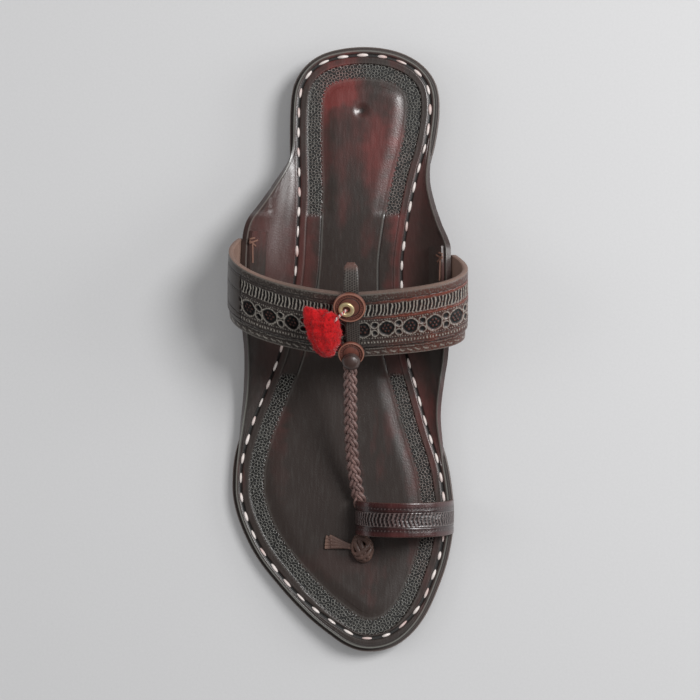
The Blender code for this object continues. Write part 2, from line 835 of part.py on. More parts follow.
def build_pompom(eyelet, group, forms, wool):
    """Lobed tuft of wool on the band, tied through the eyelet by its threads."""
    share = POMPOM_FROM_REAR / crown_width()
    frame = side_frame(share, -POMPOM_SIDE, PIECE_GAP)
    frame = frame @ Matrix.Translation((0.0, 0.0, 0.5 * POMPOM_FLAT * POMPOM_THICKNESS))
    half = Vector((0.5 * POMPOM_WIDTH, 0.5 * POMPOM_LENGTH, 0.5 * POMPOM_THICKNESS))
    lobes = (
        # direction, strength, sharpness
        (Vector((-0.74, 0.67, 0.0)), 0.46, 9),
        (Vector((0.66, 0.75, 0.0)), 0.12, 8),
        (Vector((0.25, -0.97, 0.0)), 0.10, 4),
        (Vector((-0.1, 0.9, 0.2)), -0.16, 8),
    )
    bm = bmesh.new()
    bmesh.ops.create_icosphere(bm, subdivisions=3, radius=1.0)
    for vert in bm.verts:
        way = vert.co.normalized()
        swell = 1.0 - 0.12 * max(0.0, -way.y) * abs(way.x)
        for lobe, strength, power in lobes:
            swell += strength * max(0.0, way.dot(lobe.normalized())) ** power
        turn = 9.0 * way.x + 5.0 * way.z
        locks = 0.035 * sin(turn + 4.0 * way.y) + 0.030 * sin(11.0 * way.y - 7.0 * way.z)
        reach = swell + (locks if way.z > -0.5 else 0.0)
        vert.co = Vector((way.x * half.x, way.y * half.y, way.z * half.z)) * reach
        vert.co.x -= POMPOM_LEAN * vert.co.y
        vert.co.z = max(vert.co.z, -POMPOM_FLAT * half.z)
    bm.transform(frame)
    pompom = finish("pompom", bm, group, wool)

    hole = eyelet @ Vector((0.0, 0.0, EYELET_THICKNESS + THREAD_RADIUS))
    knot = frame @ Vector((0.55 * half.x, 0.62 * half.y, 0.25 * half.z))
    over = hole.lerp(knot, 0.4) + Vector((0.0, 0.0, THREAD_ARCH))
    sag = Vector((0.0, 0.0, THREAD_SAG))
    route = [knot, knot.lerp(over, 0.5) + sag, over, over.lerp(hole, 0.6) + sag, hole]
    join(pompom, tube("pompom_thread", route, THREAD_RADIUS, forms))
    return pompom


def tube(name, route, radius, group, sides=8):
    """A round thong or thread along a route, with flat ends."""
    sections = []
    for i, point in enumerate(route):
        run = (route[min(i + 1, len(route) - 1)] - route[max(i - 1, 0)]).normalized()
        across = run.cross(Vector((0.0, 0.0, 1.0)))
        across = across.normalized() if across.length > 0.1 else Vector((1.0, 0.0, 0.0))
        up = across.cross(run)
        turns = [2.0 * pi * k / sides for k in range(sides)]
        sections.append([point + (across * cos(turn) + up * sin(turn)) * radius
                         for turn in turns])
    return strip(name, sections, group, None)


def build_knot(group, forms, leather):
    """Knotted thong in front of the toe loop: three raised turns, and a flat tail."""
    end = plait_route()[-1]
    half = Vector((0.5 * KNOT_WIDTH, 0.5 * KNOT_LENGTH, 0.5 * KNOT_HEIGHT))
    y = y_of(LOOP_CENTRE) - 0.5 * LOOP_WIDTH - PIECE_GAP - half.y
    centre = Vector((end.x, y, insole_top(y) + PIECE_GAP + KNOT_FLAT * half.z))
    # Each turn of the thong lies in a plane through the knot, given by its normal
    turns = (Vector((0.9, 0.45, 0.2)), Vector((-0.6, 0.8, 0.5)), Vector((0.2, 0.5, -0.9)))
    bm = bmesh.new()
    bmesh.ops.create_icosphere(bm, subdivisions=3, radius=1.0)
    for vert in bm.verts:
        way = vert.co.normalized()
        offs = [way.dot(turn.normalized()) / KNOT_RIDGE_WIDTH for turn in turns]
        rise = max(1.0 - min(1.0, off * off) for off in offs)
        reach = 1.0 - KNOT_RIDGE_RISE + KNOT_RIDGE_RISE * sqrt(rise)
        vert.co = Vector((way.x * half.x, way.y * half.y, way.z * half.z)) * reach
        vert.co.z = max(vert.co.z, -KNOT_FLAT * half.z)
    bm.transform(Matrix.Translation(centre))
    knot = finish("toe_knot", bm, group, leather)

    root_width = 2.0 * THONG_RADIUS
    steps = 6
    sections = []
    for i in range(steps + 1):
        t = i / steps
        wide = 0.5 * (root_width + (TAIL_WIDTH - root_width) * t * t)
        thick = 0.5 * (root_width + (TAIL_THICKNESS - root_width) * t)
        x = centre.x - TAIL_LENGTH * t
        y = centre.y + TAIL_LEAN * TAIL_LENGTH * t
        corners = ((-wide, 0.0), (-0.7 * wide, thick), (0.7 * wide, thick), (wide, 0.0),
                   (0.7 * wide, -thick), (-0.7 * wide, -thick))
        base = insole_top(y) + PIECE_GAP + thick
        sections.append([Vector((x, y + across, base + up)) for across, up in corners])
    join(knot, strip("knot_tail", sections, forms, None))
    return knot


def build_sandal():
    for old in list(bpy.data.objects):
        bpy.data.objects.remove(old, do_unlink=True)
    part = collection("kolhapuri_sandal")
    forms = collection("joined_forms")
    sole_leather = material("sole_leather", (0.045, 0.030, 0.026), 0.55)
    lift_leather = material("lift_leather", (0.060, 0.034, 0.024), 0.6)
    insole_leather = material("insole_leather", (0.058, 0.034, 0.032), 0.42)
    band_leather = material("band_leather", (0.050, 0.036, 0.030), 0.45)
    patch_leather = material("patch_leather", (0.090, 0.050, 0.034), 0.7)
    disc_leather = material("disc_leather", (0.150, 0.052, 0.038), 0.5)
    brass = material("brass", (0.600, 0.430, 0.200), 0.3, 1.0)
    wool = material("red_wool", (0.600, 0.020, 0.020), 0.9)

    build_outsole(part, sole_leather)
    build_lifts(part, lift_leather)
    build_insole(part, insole_leather)
    build_upper(part, forms, band_leather)
    build_patch("ear_patch_lateral", LATERAL, part, patch_leather)
    build_patch("ear_patch_medial", MEDIAL, part, patch_leather)
    build_strip(part, patch_leather)
    eyelet = build_trim(part, disc_leather, brass, band_leather)
    build_pompom(eyelet, part, forms, wool)
    build_knot(part, forms, patch_leather)


build_sandal()
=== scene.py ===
"""Looks of a kolhapuri sandal for the right foot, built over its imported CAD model.

Metres, +Z up, toe at -Y, medial side at +X. The forms follow the same tables as the
CAD source, and each operator makes one piece or one group of like pieces.
"""
from bisect import bisect_right
from math import acos, atan2, cos, exp, floor, hypot, pi, sin, sqrt

import bmesh
import bpy
from mathutils import Matrix, Vector, noise
from mathutils.kdtree import KDTree


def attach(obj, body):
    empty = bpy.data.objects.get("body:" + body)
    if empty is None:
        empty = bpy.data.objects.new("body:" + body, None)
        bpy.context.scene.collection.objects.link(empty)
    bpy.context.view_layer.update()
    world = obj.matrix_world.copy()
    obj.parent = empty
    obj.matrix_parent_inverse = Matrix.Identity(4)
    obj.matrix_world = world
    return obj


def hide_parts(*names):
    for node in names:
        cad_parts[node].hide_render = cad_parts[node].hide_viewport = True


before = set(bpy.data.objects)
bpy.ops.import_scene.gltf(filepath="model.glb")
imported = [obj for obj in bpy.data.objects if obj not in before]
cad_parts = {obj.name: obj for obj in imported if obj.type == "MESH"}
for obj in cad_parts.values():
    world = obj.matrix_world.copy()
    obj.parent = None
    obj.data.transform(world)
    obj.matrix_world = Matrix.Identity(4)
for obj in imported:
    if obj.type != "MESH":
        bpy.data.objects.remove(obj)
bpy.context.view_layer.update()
# Vector noise takes its seed from the clock unless one is set, and every run has to match
noise.seed_set(1)

bl_info = {
    "name": "Kolhapuri sandal",
    "version": (1, 0, 0),
    "blender": (4, 5, 0),
    "location": "3D View > Sidebar > Sandal",
    "description": "Tooled leather, plait, pompom and stitches of a kolhapuri sandal",
    "category": "Object",
}

MM = 0.001
# Points that lie closer than this are welded
WELD = 1e-7
# Step in radians, or as a share of the ear's width, over which a slope is read
SLOPE_STEP = 0.02
# Steps of each side at which the outline is measured for even columns
OUTLINE_STEPS = 900

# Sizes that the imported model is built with
LENGTH = 0.275
BALL_WIDTH = 0.1008
OUTSOLE_THICKNESS = 0.0045
INSOLE_THICKNESS = 0.0028
LIFT_THICKNESS = 0.0030
LIFT_INSET = 0.0006
HEEL_BREAST = 0.245
WAIST_END = 0.58
TOE_BREAK = 0.80
TOE_SPRING = 0.0050
GAP = 0.0003
OUTSOLE_MARGIN = 0.0020
SEAM_MARGIN = 0.0042
TOE_SEAM_EXTRA = 0.0022
CHANNEL_START = 0.0080
CHANNEL_WIDTH = 0.0066
CHANNEL_DEPTH = 0.0007
HEEL_CHANNEL_END = 0.283
FORE_CHANNEL_START = 0.535
CHANNEL_FADE = 0.012
EAR_REACH = 0.0190
EAR_RISE = 0.0170
EAR_RISE_POWER = 1.2
BAND_THICKNESS = 0.0025
BAND_STEP = 0.0009
BAND_STEP_AT = 0.84
BAND_ENDS = {
    # side: rear, front, pull, lean
    -1: (0.320, 0.427, 0.0195, 0.42),
    1: (0.347, 0.464, 0.0278, 0.62),
}
BAND_REAR_CROWN = 0.411
BAND_FRONT_CROWN = 0.512
BAND_CROWN_SIDE = 0.030
BAND_REAR_HEIGHT = 0.0608
BAND_FRONT_HEIGHT = 0.0450
BAND_TOP_PULL = 0.0360
BAND_TOP_LEAN = 0.12
BAND_LAP = 0.38
PLAIT_WIDTH = 0.0064
PLAIT_THICKNESS = 0.0040
PLAIT_PITCH = 0.0141
LOOP_THICKNESS = 0.0016
LOOP_WIDTH = 0.0154
LOOP_CENTRE = 0.776
LOOP_FOOT_SIDE = 0.030
LOOP_HEIGHT = 0.0230
STRIP_WIDTH = 0.0065
STRIP_THICKNESS = 0.0012
STRIP_TAIL = 0.0130
STRIP_DROOP = 0.0055
STRIP_SIDE = 0.0008
ROSETTE_RADIUS = 0.0071
LOWER_ROSETTE_RADIUS = 0.0058
ROSETTE_THICKNESS = 0.0014
ROSETTE_FROM_REAR = 0.0047
LOWER_ROSETTE_FROM_FRONT = 0.0042
DISC_RIM = 0.0004
EYELET_RADIUS = 0.0035
EYELET_BORE = 0.0017
EYELET_THICKNESS = 0.0010
EYELET_SIDE = 0.0013
CAP_RADIUS = 0.0041
CAP_HEIGHT = 0.0036
CAP_FORWARD = 0.0032
POMPOM_LENGTH = 0.0215
POMPOM_WIDTH = 0.0146
POMPOM_THICKNESS = 0.0120
POMPOM_SIDE = 0.0105
POMPOM_FROM_REAR = 0.0168
POMPOM_FLAT = 0.94
POMPOM_LEAN = 0.12
KNOT_WIDTH = 0.0088
KNOT_LENGTH = 0.0120
KNOT_HEIGHT = 0.0058
KNOT_FLAT = 0.85
TAIL_LENGTH = 0.0172
TAIL_WIDTH = 0.0075
TAIL_LEAN = 0.20
HEEL_HEIGHT = 3 * (LIFT_THICKNESS + GAP)
HEEL_APEX = 0.060
TOE_APEX = 0.086

# Share of the length from the heel, then the sides' places as shares of the ball width
OUTLINE = (
    (0.012, -0.127, 0.242), (0.030, -0.198, 0.324), (0.062, -0.252, 0.388),
    (0.100, -0.268, 0.404), (0.160, -0.271, 0.385), (0.230, -0.267, 0.335),
    (0.300, -0.274, 0.298), (0.375, -0.289, 0.275), (0.440, -0.320, 0.277),
    (0.500, -0.360, 0.294), (0.560, -0.423, 0.337), (0.620, -0.488, 0.382),
    (0.690, -0.538, 0.440), (0.730, -0.543, 0.458), (0.770, -0.526, 0.467),
    (0.800, -0.497, 0.463), (0.840, -0.442, 0.445), (0.900, -0.314, 0.391),
    (0.945, -0.193, 0.331), (0.975, -0.088, 0.262), (0.990, -0.024, 0.203),
)

# Share of the length, then the ears' reach on either side
EARS = (
    (0.140, 0.00, 0.00), (0.190, 0.10, 0.06), (0.227, 0.38, 0.17), (0.260, 0.66, 0.36),
    (0.295, 0.94, 0.61), (0.340, 1.00, 0.93), (0.400, 0.94, 0.97), (0.460, 0.78, 0.91),
    (0.510, 0.56, 0.76), (0.550, 0.37, 0.51), (0.600, 0.17, 0.24), (0.650, 0.05, 0.09),
    (0.700, 0.00, 0.00),
)


# Curves and surfaces shared by the pieces


class Curve:
    """A smooth curve through a short table that never overshoots its rows."""

    def __init__(self, knots, values):
        self.knots, self.values = list(knots), list(values)
        spans = [b - a for a, b in zip(self.knots, self.knots[1:])]
        grades = [(b - a) / span for a, b, span in zip(self.values, self.values[1:], spans)]
        self.slopes = [0.0]
        for before, after, left, right in zip(grades, grades[1:], spans, spans[1:]):
            even = (right * before + left * after) / (left + right)
            steepest = 3.0 * min(abs(before), abs(after))
            even = max(-steepest, min(steepest, even))
            self.slopes.append(even if before * after > 0.0 else 0.0)
        self.slopes.append(0.0)

    def at(self, place):
        if place <= self.knots[0]:
            return self.values[0]
        if place >= self.knots[-1]:
            return self.values[-1]
        i = bisect_right(self.knots, place) - 1
        span = self.knots[i + 1] - self.knots[i]
        t = (place - self.knots[i]) / span
        s = 1.0 - t
        start = self.values[i] * (1 + 2 * t) * s * s + span * self.slopes[i] * t * s * s
        end = self.values[i + 1] * t * t * (3 - 2 * t)
        return start + end - span * self.slopes[i + 1] * t * t * s


def ramp(low, high, at):
    t = min(max((at - low) / (high - low), 0.0), 1.0)
    return t * t * (3 - 2 * t)


def bump(at, centre, half):
    """1 at the centre, falling smoothly to 0 at half away."""
    return 1.0 - ramp(0.0, half, abs(at - centre))


def plateau(at, low, high, end, after):
    """1 from high to end, falling smoothly to 0 at low and at after."""
    return ramp(low, high, at) * (1.0 - ramp(end, after, at))


def bezier(points, t):
    a, b, c, d = points
    s = 1.0 - t
    return a * s ** 3 + b * 3 * s * s * t + c * 3 * s * t * t + d * t ** 3


def angle_at(along, side):
    angle = acos(1.0 - 2.0 * along)
    return angle if side < 0 else 2.0 * pi - angle


def outline_curve():
    rows = [(0.0, HEEL_APEX)]
    rows += [(angle_at(along, -1), lateral) for along, lateral, medial in OUTLINE]
    rows += [(pi, TOE_APEX)]
    rows += [(angle_at(along, 1), medial) for along, lateral, medial in reversed(OUTLINE)]
    before = [(angle - 2.0 * pi, share) for angle, share in rows[-3:]]
    after = [(angle + 2.0 * pi, share) for angle, share in rows[:4]]
    rows = before + rows + after
    return Curve(*zip(*rows))


OUTLINE_CURVE = outline_curve()
EAR_CURVES = {side: Curve([row[0] for row in EARS], [row[column] for row in EARS])
              for side, column in ((-1, 1), (1, 2))}


def outline(angle):
    share = OUTLINE_CURVE.at(angle % (2.0 * pi))
    return Vector((share * BALL_WIDTH, 0.5 * LENGTH * cos(angle), 0.0))


def inward(angle):
    """The way from the outline towards the foot's middle, square to the outline."""
    run = (outline(angle + SLOPE_STEP) - outline(angle - SLOPE_STEP)).normalized()
    return Vector((-run.y, run.x, 0.0))


def inset(angle, distance):
    return outline(angle) + inward(angle) * distance


def share_of(y):
    return 0.5 - y / LENGTH


def y_of(along):
    return (0.5 - along) * LENGTH


def outsole_bottom(y):
    along = share_of(y)
    heel = HEEL_HEIGHT * (1.0 - ramp(HEEL_BREAST, WAIST_END, along))
    spring = max(0.0, (along - TOE_BREAK) / (1.0 - TOE_BREAK))
    return heel + TOE_SPRING * spring ** 2


def insole_top(y):
    return outsole_bottom(y) + OUTSOLE_THICKNESS + GAP + INSOLE_THICKNESS


def side_of(angle):
    return -1 if angle % (2.0 * pi) < pi else 1


def ear_share(angle):
    return EAR_CURVES[side_of(angle)].at(share_of(outline(angle).y))


def seam_distance(angle):
    return SEAM_MARGIN + TOE_SEAM_EXTRA * ramp(0.9, 1.0, share_of(outline(angle).y))


def ear_point(angle, q):
    """The insole's upper face between the seam (q = 0) and its edge (q = 1)."""
    seam = inset(angle, seam_distance(angle))
    share = ear_share(angle)
    edge = inset(angle, OUTSOLE_MARGIN)
    edge.x += side_of(angle) * EAR_REACH * share
    point = seam.lerp(edge, q)
    point.z = insole_top(point.y) + EAR_RISE * share ** EAR_RISE_POWER * q * q
    return point


def ear_out(angle, q):
    across = ear_point(angle, q + SLOPE_STEP) - ear_point(angle, q - SLOPE_STEP)
    along = ear_point(angle + SLOPE_STEP, q) - ear_point(angle - SLOPE_STEP, q)
    square = across.cross(along).normalized()
    return -square if square.z > 0 else square


def even_steps(points, count):
    """Places, as float indices, that lie at even distances along a line of points."""
    runs = [0.0]
    for a, b in zip(points, points[1:]):
        runs.append(runs[-1] + (b - a).length)
    places = []
    for i in range(count + 1):
        at = runs[-1] * i / count
        k = min(max(bisect_right(runs, at) - 1, 0), len(points) - 2)
        places.append(k + (at - runs[k]) / max(runs[k + 1] - runs[k], 1e-12))
    return places, runs[-1]


def between(points, place):
    k = min(int(place), len(points) - 2)
    return points[k].lerp(points[k + 1], place - k)


def heading(points, i):
    """The way past one point of a line, from the point before it to the one after."""
    return points[min(i + 1, len(points) - 1)] - points[max(i - 1, 0)]


# Mesh tools


LAYERS = ("sunk", "tone", "flesh", "border", "travel", "across")


def start():
    """A bmesh whose vertices can carry how they are darkened or lightened (sunk: painted shade in
    hollows together with dye darkened in the tooling, or, below zero, painted highlight on ridges
    and edges together with real wear), their tone, how much the undyed flesh side shows, and their
    place in the stamped border."""
    bm = bmesh.new()
    for name in LAYERS:
        bm.verts.layers.float.new(name)
    return bm


def lay_grid(bm, columns, rows, place):
    """Lay a grid on a surface; place(i, j) gives a point, then the values of its layers."""
    layers = [bm.verts.layers.float[name] for name in LAYERS]
    made = bmesh.ops.create_grid(bm, x_segments=columns, y_segments=rows, size=0.5)
    for vert in made["verts"]:
        i = round((vert.co.x + 0.5) * columns)
        j = round((vert.co.y + 0.5) * rows)
        point, *values = place(i, j)
        vert.co = point
        for layer, value in zip(layers, values):
            vert[layer] = value
    return made["verts"]


def finish(name, bm, nodes=(), finish_material=None, sharp=0.7, cap=False):
    """Weld, close and shade a piece, then let it ride on the sandal."""
    bmesh.ops.remove_doubles(bm, verts=bm.verts, dist=WELD)
    if cap:
        bmesh.ops.holes_fill(bm, edges=[edge for edge in bm.edges if edge.is_boundary], sides=0)
    bmesh.ops.recalc_face_normals(bm, faces=bm.faces)
    mesh = bpy.data.meshes.new(name)
    bm.to_mesh(mesh)
    bm.free()
    mesh.shade_smooth()
    mesh.set_sharp_from_angle(angle=sharp)
    mesh.materials.append(finish_material)
    made = bpy.data.objects.new(name, mesh)
    bpy.context.scene.collection.objects.link(made)
    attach(made, "root")
    if nodes:
        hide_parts(*nodes)


def tube(bm, route, widths, sides, up=None):
    """A closed round or flat thong along a route; widths gives half width and height."""
    count = len(route) - 1
    frames = []
    for i in range(count + 1):
        run = heading(route, i).normalized()
        lead = up[i] if up else Vector((0.0, 0.0, 1.0))
        across = run.cross(lead)
        across = across.normalized() if across.length > 1e-3 else run.orthogonal().normalized()
        frames.append((across, across.cross(run)))

    def place(i, j):
        turn = 2.0 * pi * j / sides
        wide, high = widths(i / count)
        across, above = frames[i]
        return (route[i] + across * cos(turn) * wide + above * sin(turn) * high,)

    verts = lay_grid(bm, count, sides, place)
    bmesh.ops.remove_doubles(bm, verts=verts, dist=WELD)
    open_edges = [edge for edge in bm.edges if edge.is_boundary]
    bmesh.ops.holes_fill(bm, edges=open_edges, sides=0)


# Materials


# Size of one looped stamp, drawn coarser than the finest real ones so that it shows
STAMP_MM = 1.95


def linear(code):
    """An sRGB hex colour as linear RGBA."""
    parts = [int(code[i:i + 2], 16) / 255.0 for i in (1, 3, 5)]
    return (*[c / 12.92 if c <= 0.04045 else ((c + 0.055) / 1.055) ** 2.4 for c in parts], 1.0)


def add(tree, kind, inputs=None, **settings):
    """Add one shader node with its settings, and set or link its inputs."""
    made = tree.nodes.new("ShaderNode" + kind)
    for name, value in settings.items():
        setattr(made, name, value)
    for name, value in (inputs or {}).items():
        if isinstance(value, bpy.types.NodeSocket):
            tree.links.new(value, made.inputs[name])
        else:
            made.inputs[name].default_value = value
    return made


def blank(name, **shader_values):
    """A material with nothing but its shader, whose constants are set on the sockets."""
    made = bpy.data.materials.new(name)
    made.use_nodes = True
    shader = made.node_tree.nodes["Principled BSDF"]
    for socket, value in shader_values.items():
        shader.inputs[socket.replace("_", " ")].default_value = value
    return made, made.node_tree, shader


def mottled(name, low, high, spot_mm, detail=2.0, rough=0.5, **shader_values):
    """A material whose colour wanders between two in spots of a real size; gives its
    parts, with the spots' noise and their tint."""
    made, tree, shader = blank(name, **shader_values)
    place = add(tree, "TexCoord").outputs["Object"]
    haze = add(tree, "TexNoise", {
        "Vector": place, "Scale": 1.0 / (spot_mm * MM), "Detail": detail,
        "Roughness": rough}).outputs["Fac"]
    tint = add(tree, "Mix", {0: haze, 6: low, 7: high}, data_type="RGBA").outputs[2]
    tree.links.new(tint, shader.inputs["Base Color"])
    return made, tree, shader, haze, tint


def leather(name, colours, patch_mm=26.0, streak_mm=0.9, dye_share=0.5, roughness=0.36,
            coat=0.12, grain_mm=0.55, stamped=False):
    """Hand-dyed leather: dark and dye colours mix in long soft patches, fine streaks lie along the
    hide, tooled hollows turn to the sunk colour, which is painted shade along with dye darkened in
    the tooling, ridges and edges turn to the light one as painted highlight, and so do worn
    places, and cut edges and the back show the flesh colour."""
    dark, dye, light, sunk, flesh = [
        linear(colour) if isinstance(colour, str) else colour for colour in colours]
    made, tree, shader = blank(name, Coat_Weight=coat, Coat_Roughness=0.25,
                               Specular_IOR_Level=0.5 + coat)
    spot = add(tree, "TexCoord").outputs["Object"]
    long_way = add(tree, "Mapping", {"Vector": spot, "Scale": (1.0, 0.32, 1.0)})
    patches = add(tree, "TexNoise", {
        "Vector": long_way.outputs[0], "Scale": 1.0 / (patch_mm * MM), "Detail": 4.0,
        "Roughness": 0.62})
    fibre_way = add(tree, "Mapping", {"Vector": spot, "Scale": (1.0, 0.12, 1.0)})
    streaks = add(tree, "TexNoise", {
        "Vector": fibre_way.outputs[0], "Scale": 1.0 / (streak_mm * MM), "Detail": 3.0,
        "Roughness": 0.55})
    grain = add(tree, "TexVoronoi", {
        "Vector": spot, "Scale": 1.0 / (grain_mm * MM)}, feature="SMOOTH_F1")
    shade_highlight_and_wear, tone, raw = [
        add(tree, "Attribute", attribute_name=layer).outputs["Fac"] for layer in LAYERS[:3]]
    fleck, rub, nap, rough = [
        add(tree, "MapRange", {
            "Value": streaks.outputs["Fac"], "From Min": low, "From Max": high,
            "To Min": least, "To Max": most}).outputs[0]
        for low, high, least, most in (
            (0.36, 0.68, 0.86, 1.06), (0.50, 0.80, 0.0, 0.06), (0.0, 1.0, 0.75, 1.1),
            (0.3, 0.7, roughness - 0.02, roughness + 0.04))]
    height = add(tree, "Math", {
        0: streaks.outputs["Fac"], 1: 0.25, 2: grain.outputs["Distance"]},
        operation="MULTIPLY_ADD").outputs[0]

    if stamped:
        # Looped stamps in slanted rows: painted highlight on the ridges, painted shade in the pits
        # that they ring
        border, travel, across = [
            add(tree, "Attribute", attribute_name=layer).outputs["Fac"]
            for layer in LAYERS[3:]]
        run = add(tree, "CombineXYZ", {"X": travel, "Y": across})
        slant = add(tree, "Mapping", {
            "Vector": run.outputs[0], "Rotation": (0.0, 0.0, 0.25 * pi),
            "Scale": (1.0 / STAMP_MM, 1.0 / STAMP_MM, 1.0)})
        loops = add(tree, "TexVoronoi", {
            "Vector": slant.outputs[0], "Scale": 1.0, "Randomness": 0.42},
            voronoi_dimensions="2D").outputs["Distance"]
        ridge = add(tree, "Math", {0: loops, 1: 0.40}, operation="SUBTRACT")
        ridge = add(tree, "Math", {0: ridge.outputs[0]}, operation="ABSOLUTE")
        ridge = add(tree, "MapRange", {
            "Value": ridge.outputs[0], "From Min": 0.02, "From Max": 0.15,
            "To Min": 1.0, "To Max": 0.0}, interpolation_type="SMOOTHSTEP").outputs[0]
        stamp = add(tree, "MapRange", {
            "Value": ridge, "To Min": 1.0, "To Max": -0.62}).outputs[0]
        stamp = add(tree, "Math", {0: stamp, 1: border}, operation="MULTIPLY")
        shade_highlight_and_wear = add(tree, "Math", {0: shade_highlight_and_wear, 1: stamp.outputs[0]},
                     operation="ADD").outputs[0]
        rise = add(tree, "Math", {0: ridge, 1: border}, operation="MULTIPLY")
        height = add(tree, "Math", {0: rise.outputs[0], 1: 5.5, 2: height},
                     operation="MULTIPLY_ADD").outputs[0]

    low = 0.60 - 0.24 * dye_share
    where = add(tree, "MapRange", {
        "Value": patches.outputs["Fac"], "From Min": low, "From Max": low + 0.22,
        "To Max": 0.45}, interpolation_type="SMOOTHSTEP").outputs[0]
    reach = add(tree, "Math", {0: where, 1: tone}, operation="ADD",
                use_clamp=True).outputs[0]
    # Painted shade in hollows takes the sunk colour; painted highlight on ridges and edges, and
    # wear, take the light one
    reach, highlight_and_wear, hollow_shade, bare = [
        add(tree, "Math", {0: value, 1: by}, operation="MULTIPLY", use_clamp=True).outputs[0]
        for value, by in ((reach, fleck), (shade_highlight_and_wear, -1.0), (shade_highlight_and_wear, 1.0), (raw, nap))]
    colour = dark
    for share, tint in ((reach, dye), (rub, light), (highlight_and_wear, light), (hollow_shade, sunk), (bare, flesh)):
        colour = add(tree, "Mix", {0: share, 6: colour, 7: tint},
                     data_type="RGBA").outputs[2]
    tree.links.new(colour, shader.inputs["Base Color"])

    for share, more in ((hollow_shade, 0.25), (bare, 0.35)):
        rough = add(tree, "Math", {0: share, 1: more, 2: rough},
                    operation="MULTIPLY_ADD").outputs[0]
    tree.links.new(rough, shader.inputs["Roughness"])
    relief = add(tree, "Bump", {
        "Height": height, "Strength": 0.7, "Distance": 0.06 * MM})
    tree.links.new(relief.outputs[0], shader.inputs["Normal"])
    return made


# Leathers by their use, made once the add-on is registered
FINISH = {}


def make_leathers():
    """The sandal's leathers, each named for the real one."""
    sizes = bpy.context.scene.sandal_looks
    dyes = bpy.context.scene.sandal_colours
    # Each set gives dark, dye, light, sunk and flesh colours: the light one is also painted
    # highlight on ridges and edges, the sunk one painted shade in hollows
    hide = (dyes.hide, dyes.maroon, "#80827c", "#0b0b0a", "#8a6a55")
    # Vegetable-tanned buffalo hide, oiled and hand dyed: near black with maroon showing,
    # polished smooth, with the fibre's fine streaks along the foot
    FINISH["insole"] = leather(
        "oiled_buffalo_hide_insole", hide, dye_share=sizes.dye_share, roughness=0.33,
        coat=0.35, stamped=True)
    # The same hide for the thick sole, its cut edge blackened and burnished
    FINISH["sole"] = leather(
        "burnished_edge_buffalo_hide",
        ("#443c39", "#543f3a", "#857872", "#120f0e", "#8a6a55"),
        roughness=0.48, coat=0.05, streak_mm=0.5)
    # Instep band: oiled hide stamped with brass tools, dark with reddish worn edges and
    # an undyed tan back and cut edge
    FINISH["band"] = leather(
        "stamped_oiled_hide_band",
        (dyes.band, dyes.band_edge, "#9a958c", "#080707", dyes.raw_edge),
        dye_share=0.10, roughness=0.38, coat=0.15, patch_mm=18.0)
    # Toe loop: the same work on a redder strip, polished by the foot
    FINISH["loop"] = leather(
        "stamped_oiled_hide_loop",
        ("#2e1c1c", "#4d2726", "#857c79", "#0d0808", "#5b3f36"),
        dye_share=0.6, roughness=0.28, coat=0.30, patch_mm=14.0)
    # Strips inside the ears, cut from the insole's hide and dyed through
    FINISH["strip"] = leather(
        "oiled_buffalo_hide_ear_strip", hide, dye_share=0.7, roughness=0.33, coat=0.35)
    # Thin thong at the ears, hardly dyed: tan, dulled by handling
    FINISH["thong"] = leather(
        "tan_goat_thong",
        ("#765548", "#936f60", "#b89484", "#2a1b17", "#936f60"),
        roughness=0.6, coat=0.05, patch_mm=4.0, grain_mm=0.35)
    # Thongs of the plait: narrow strips, waxed by handling
    FINISH["plait"] = leather(
        "waxed_hide_thongs",
        ("#6a534f", "#97766f", "#c6b5b0", "#0b0707", "#6b4a3e"),
        dye_share=0.6, roughness=0.30, coat=0.35, patch_mm=7.0, streak_mm=0.4)
    # Thongs of the knot, drier, their cut ends pale
    FINISH["knot"] = leather(
        "knotted_hide_thongs",
        ("#55413b", "#866558", "#b08c78", "#0e0a09", "#a87a66"),
        dye_share=0.5, roughness=0.42, coat=0.12, patch_mm=6.0, streak_mm=0.35)
    # Discs: thin goat hide, dyed red-brown, with a tan rim
    FINISH["disc"] = leather(
        "punched_goat_hide_disc",
        ("#583229", "#804a3d", "#ad7f6b", "#150c0a", "#7a5648"),
        dye_share=0.6, roughness=0.42, coat=0.12, patch_mm=6.0, grain_mm=0.4)


# Sole


class Column:
    """One place round the outline, with what the sole's rows need there."""

    def __init__(self, angle):
        self.angle = angle
        self.base = outline(angle)
        self.inward = inward(angle)
        self.seam = seam_distance(angle)
        self.seam_point = ear_point(angle, 0.0)
        self.edge_point = ear_point(angle, 1.0)
        self.margin = (self.edge_point - self.seam_point).length
        self.travel = 0.0

    def at(self, distance):
        return self.base + self.inward * distance


def sole_columns(half):
    """Columns at even steps along each side, heel to toe and back."""
    columns = []
    for first in (0.0, pi):
        angles = [first + pi * i / OUTLINE_STEPS for i in range(OUTLINE_STEPS + 1)]
        points = [outline(angle) for angle in angles]
        places, _length = even_steps(points, half)
        columns += [Column(first + pi * place / OUTLINE_STEPS) for place in places[:-1]]
    middle = CHANNEL_START + 0.5 * CHANNEL_WIDTH
    travel = 0.0
    for before, after in zip(columns, columns[1:] + columns[:1]):
        before.travel = travel
        travel += (after.at(middle) - before.at(middle)).length
    toe = columns[half].travel
    for number, column in enumerate(columns):
        if share_of(column.base.y) > 0.5 * (HEEL_CHANNEL_END + FORE_CHANNEL_START):
            column.travel -= toe
        elif number > half:
            column.travel -= travel
    return columns


def rungs(bm, columns, ring, across, place):
    """Close a ring of the sole by rungs from side to side."""
    half = len(columns) // 2

    def rung(i, j):
        left = ring(columns[i])
        right = ring(columns[(len(columns) - i) % len(columns)])
        return place(left.lerp(right, j / across), j in (0, across))

    lay_grid(bm, half, across, rung)


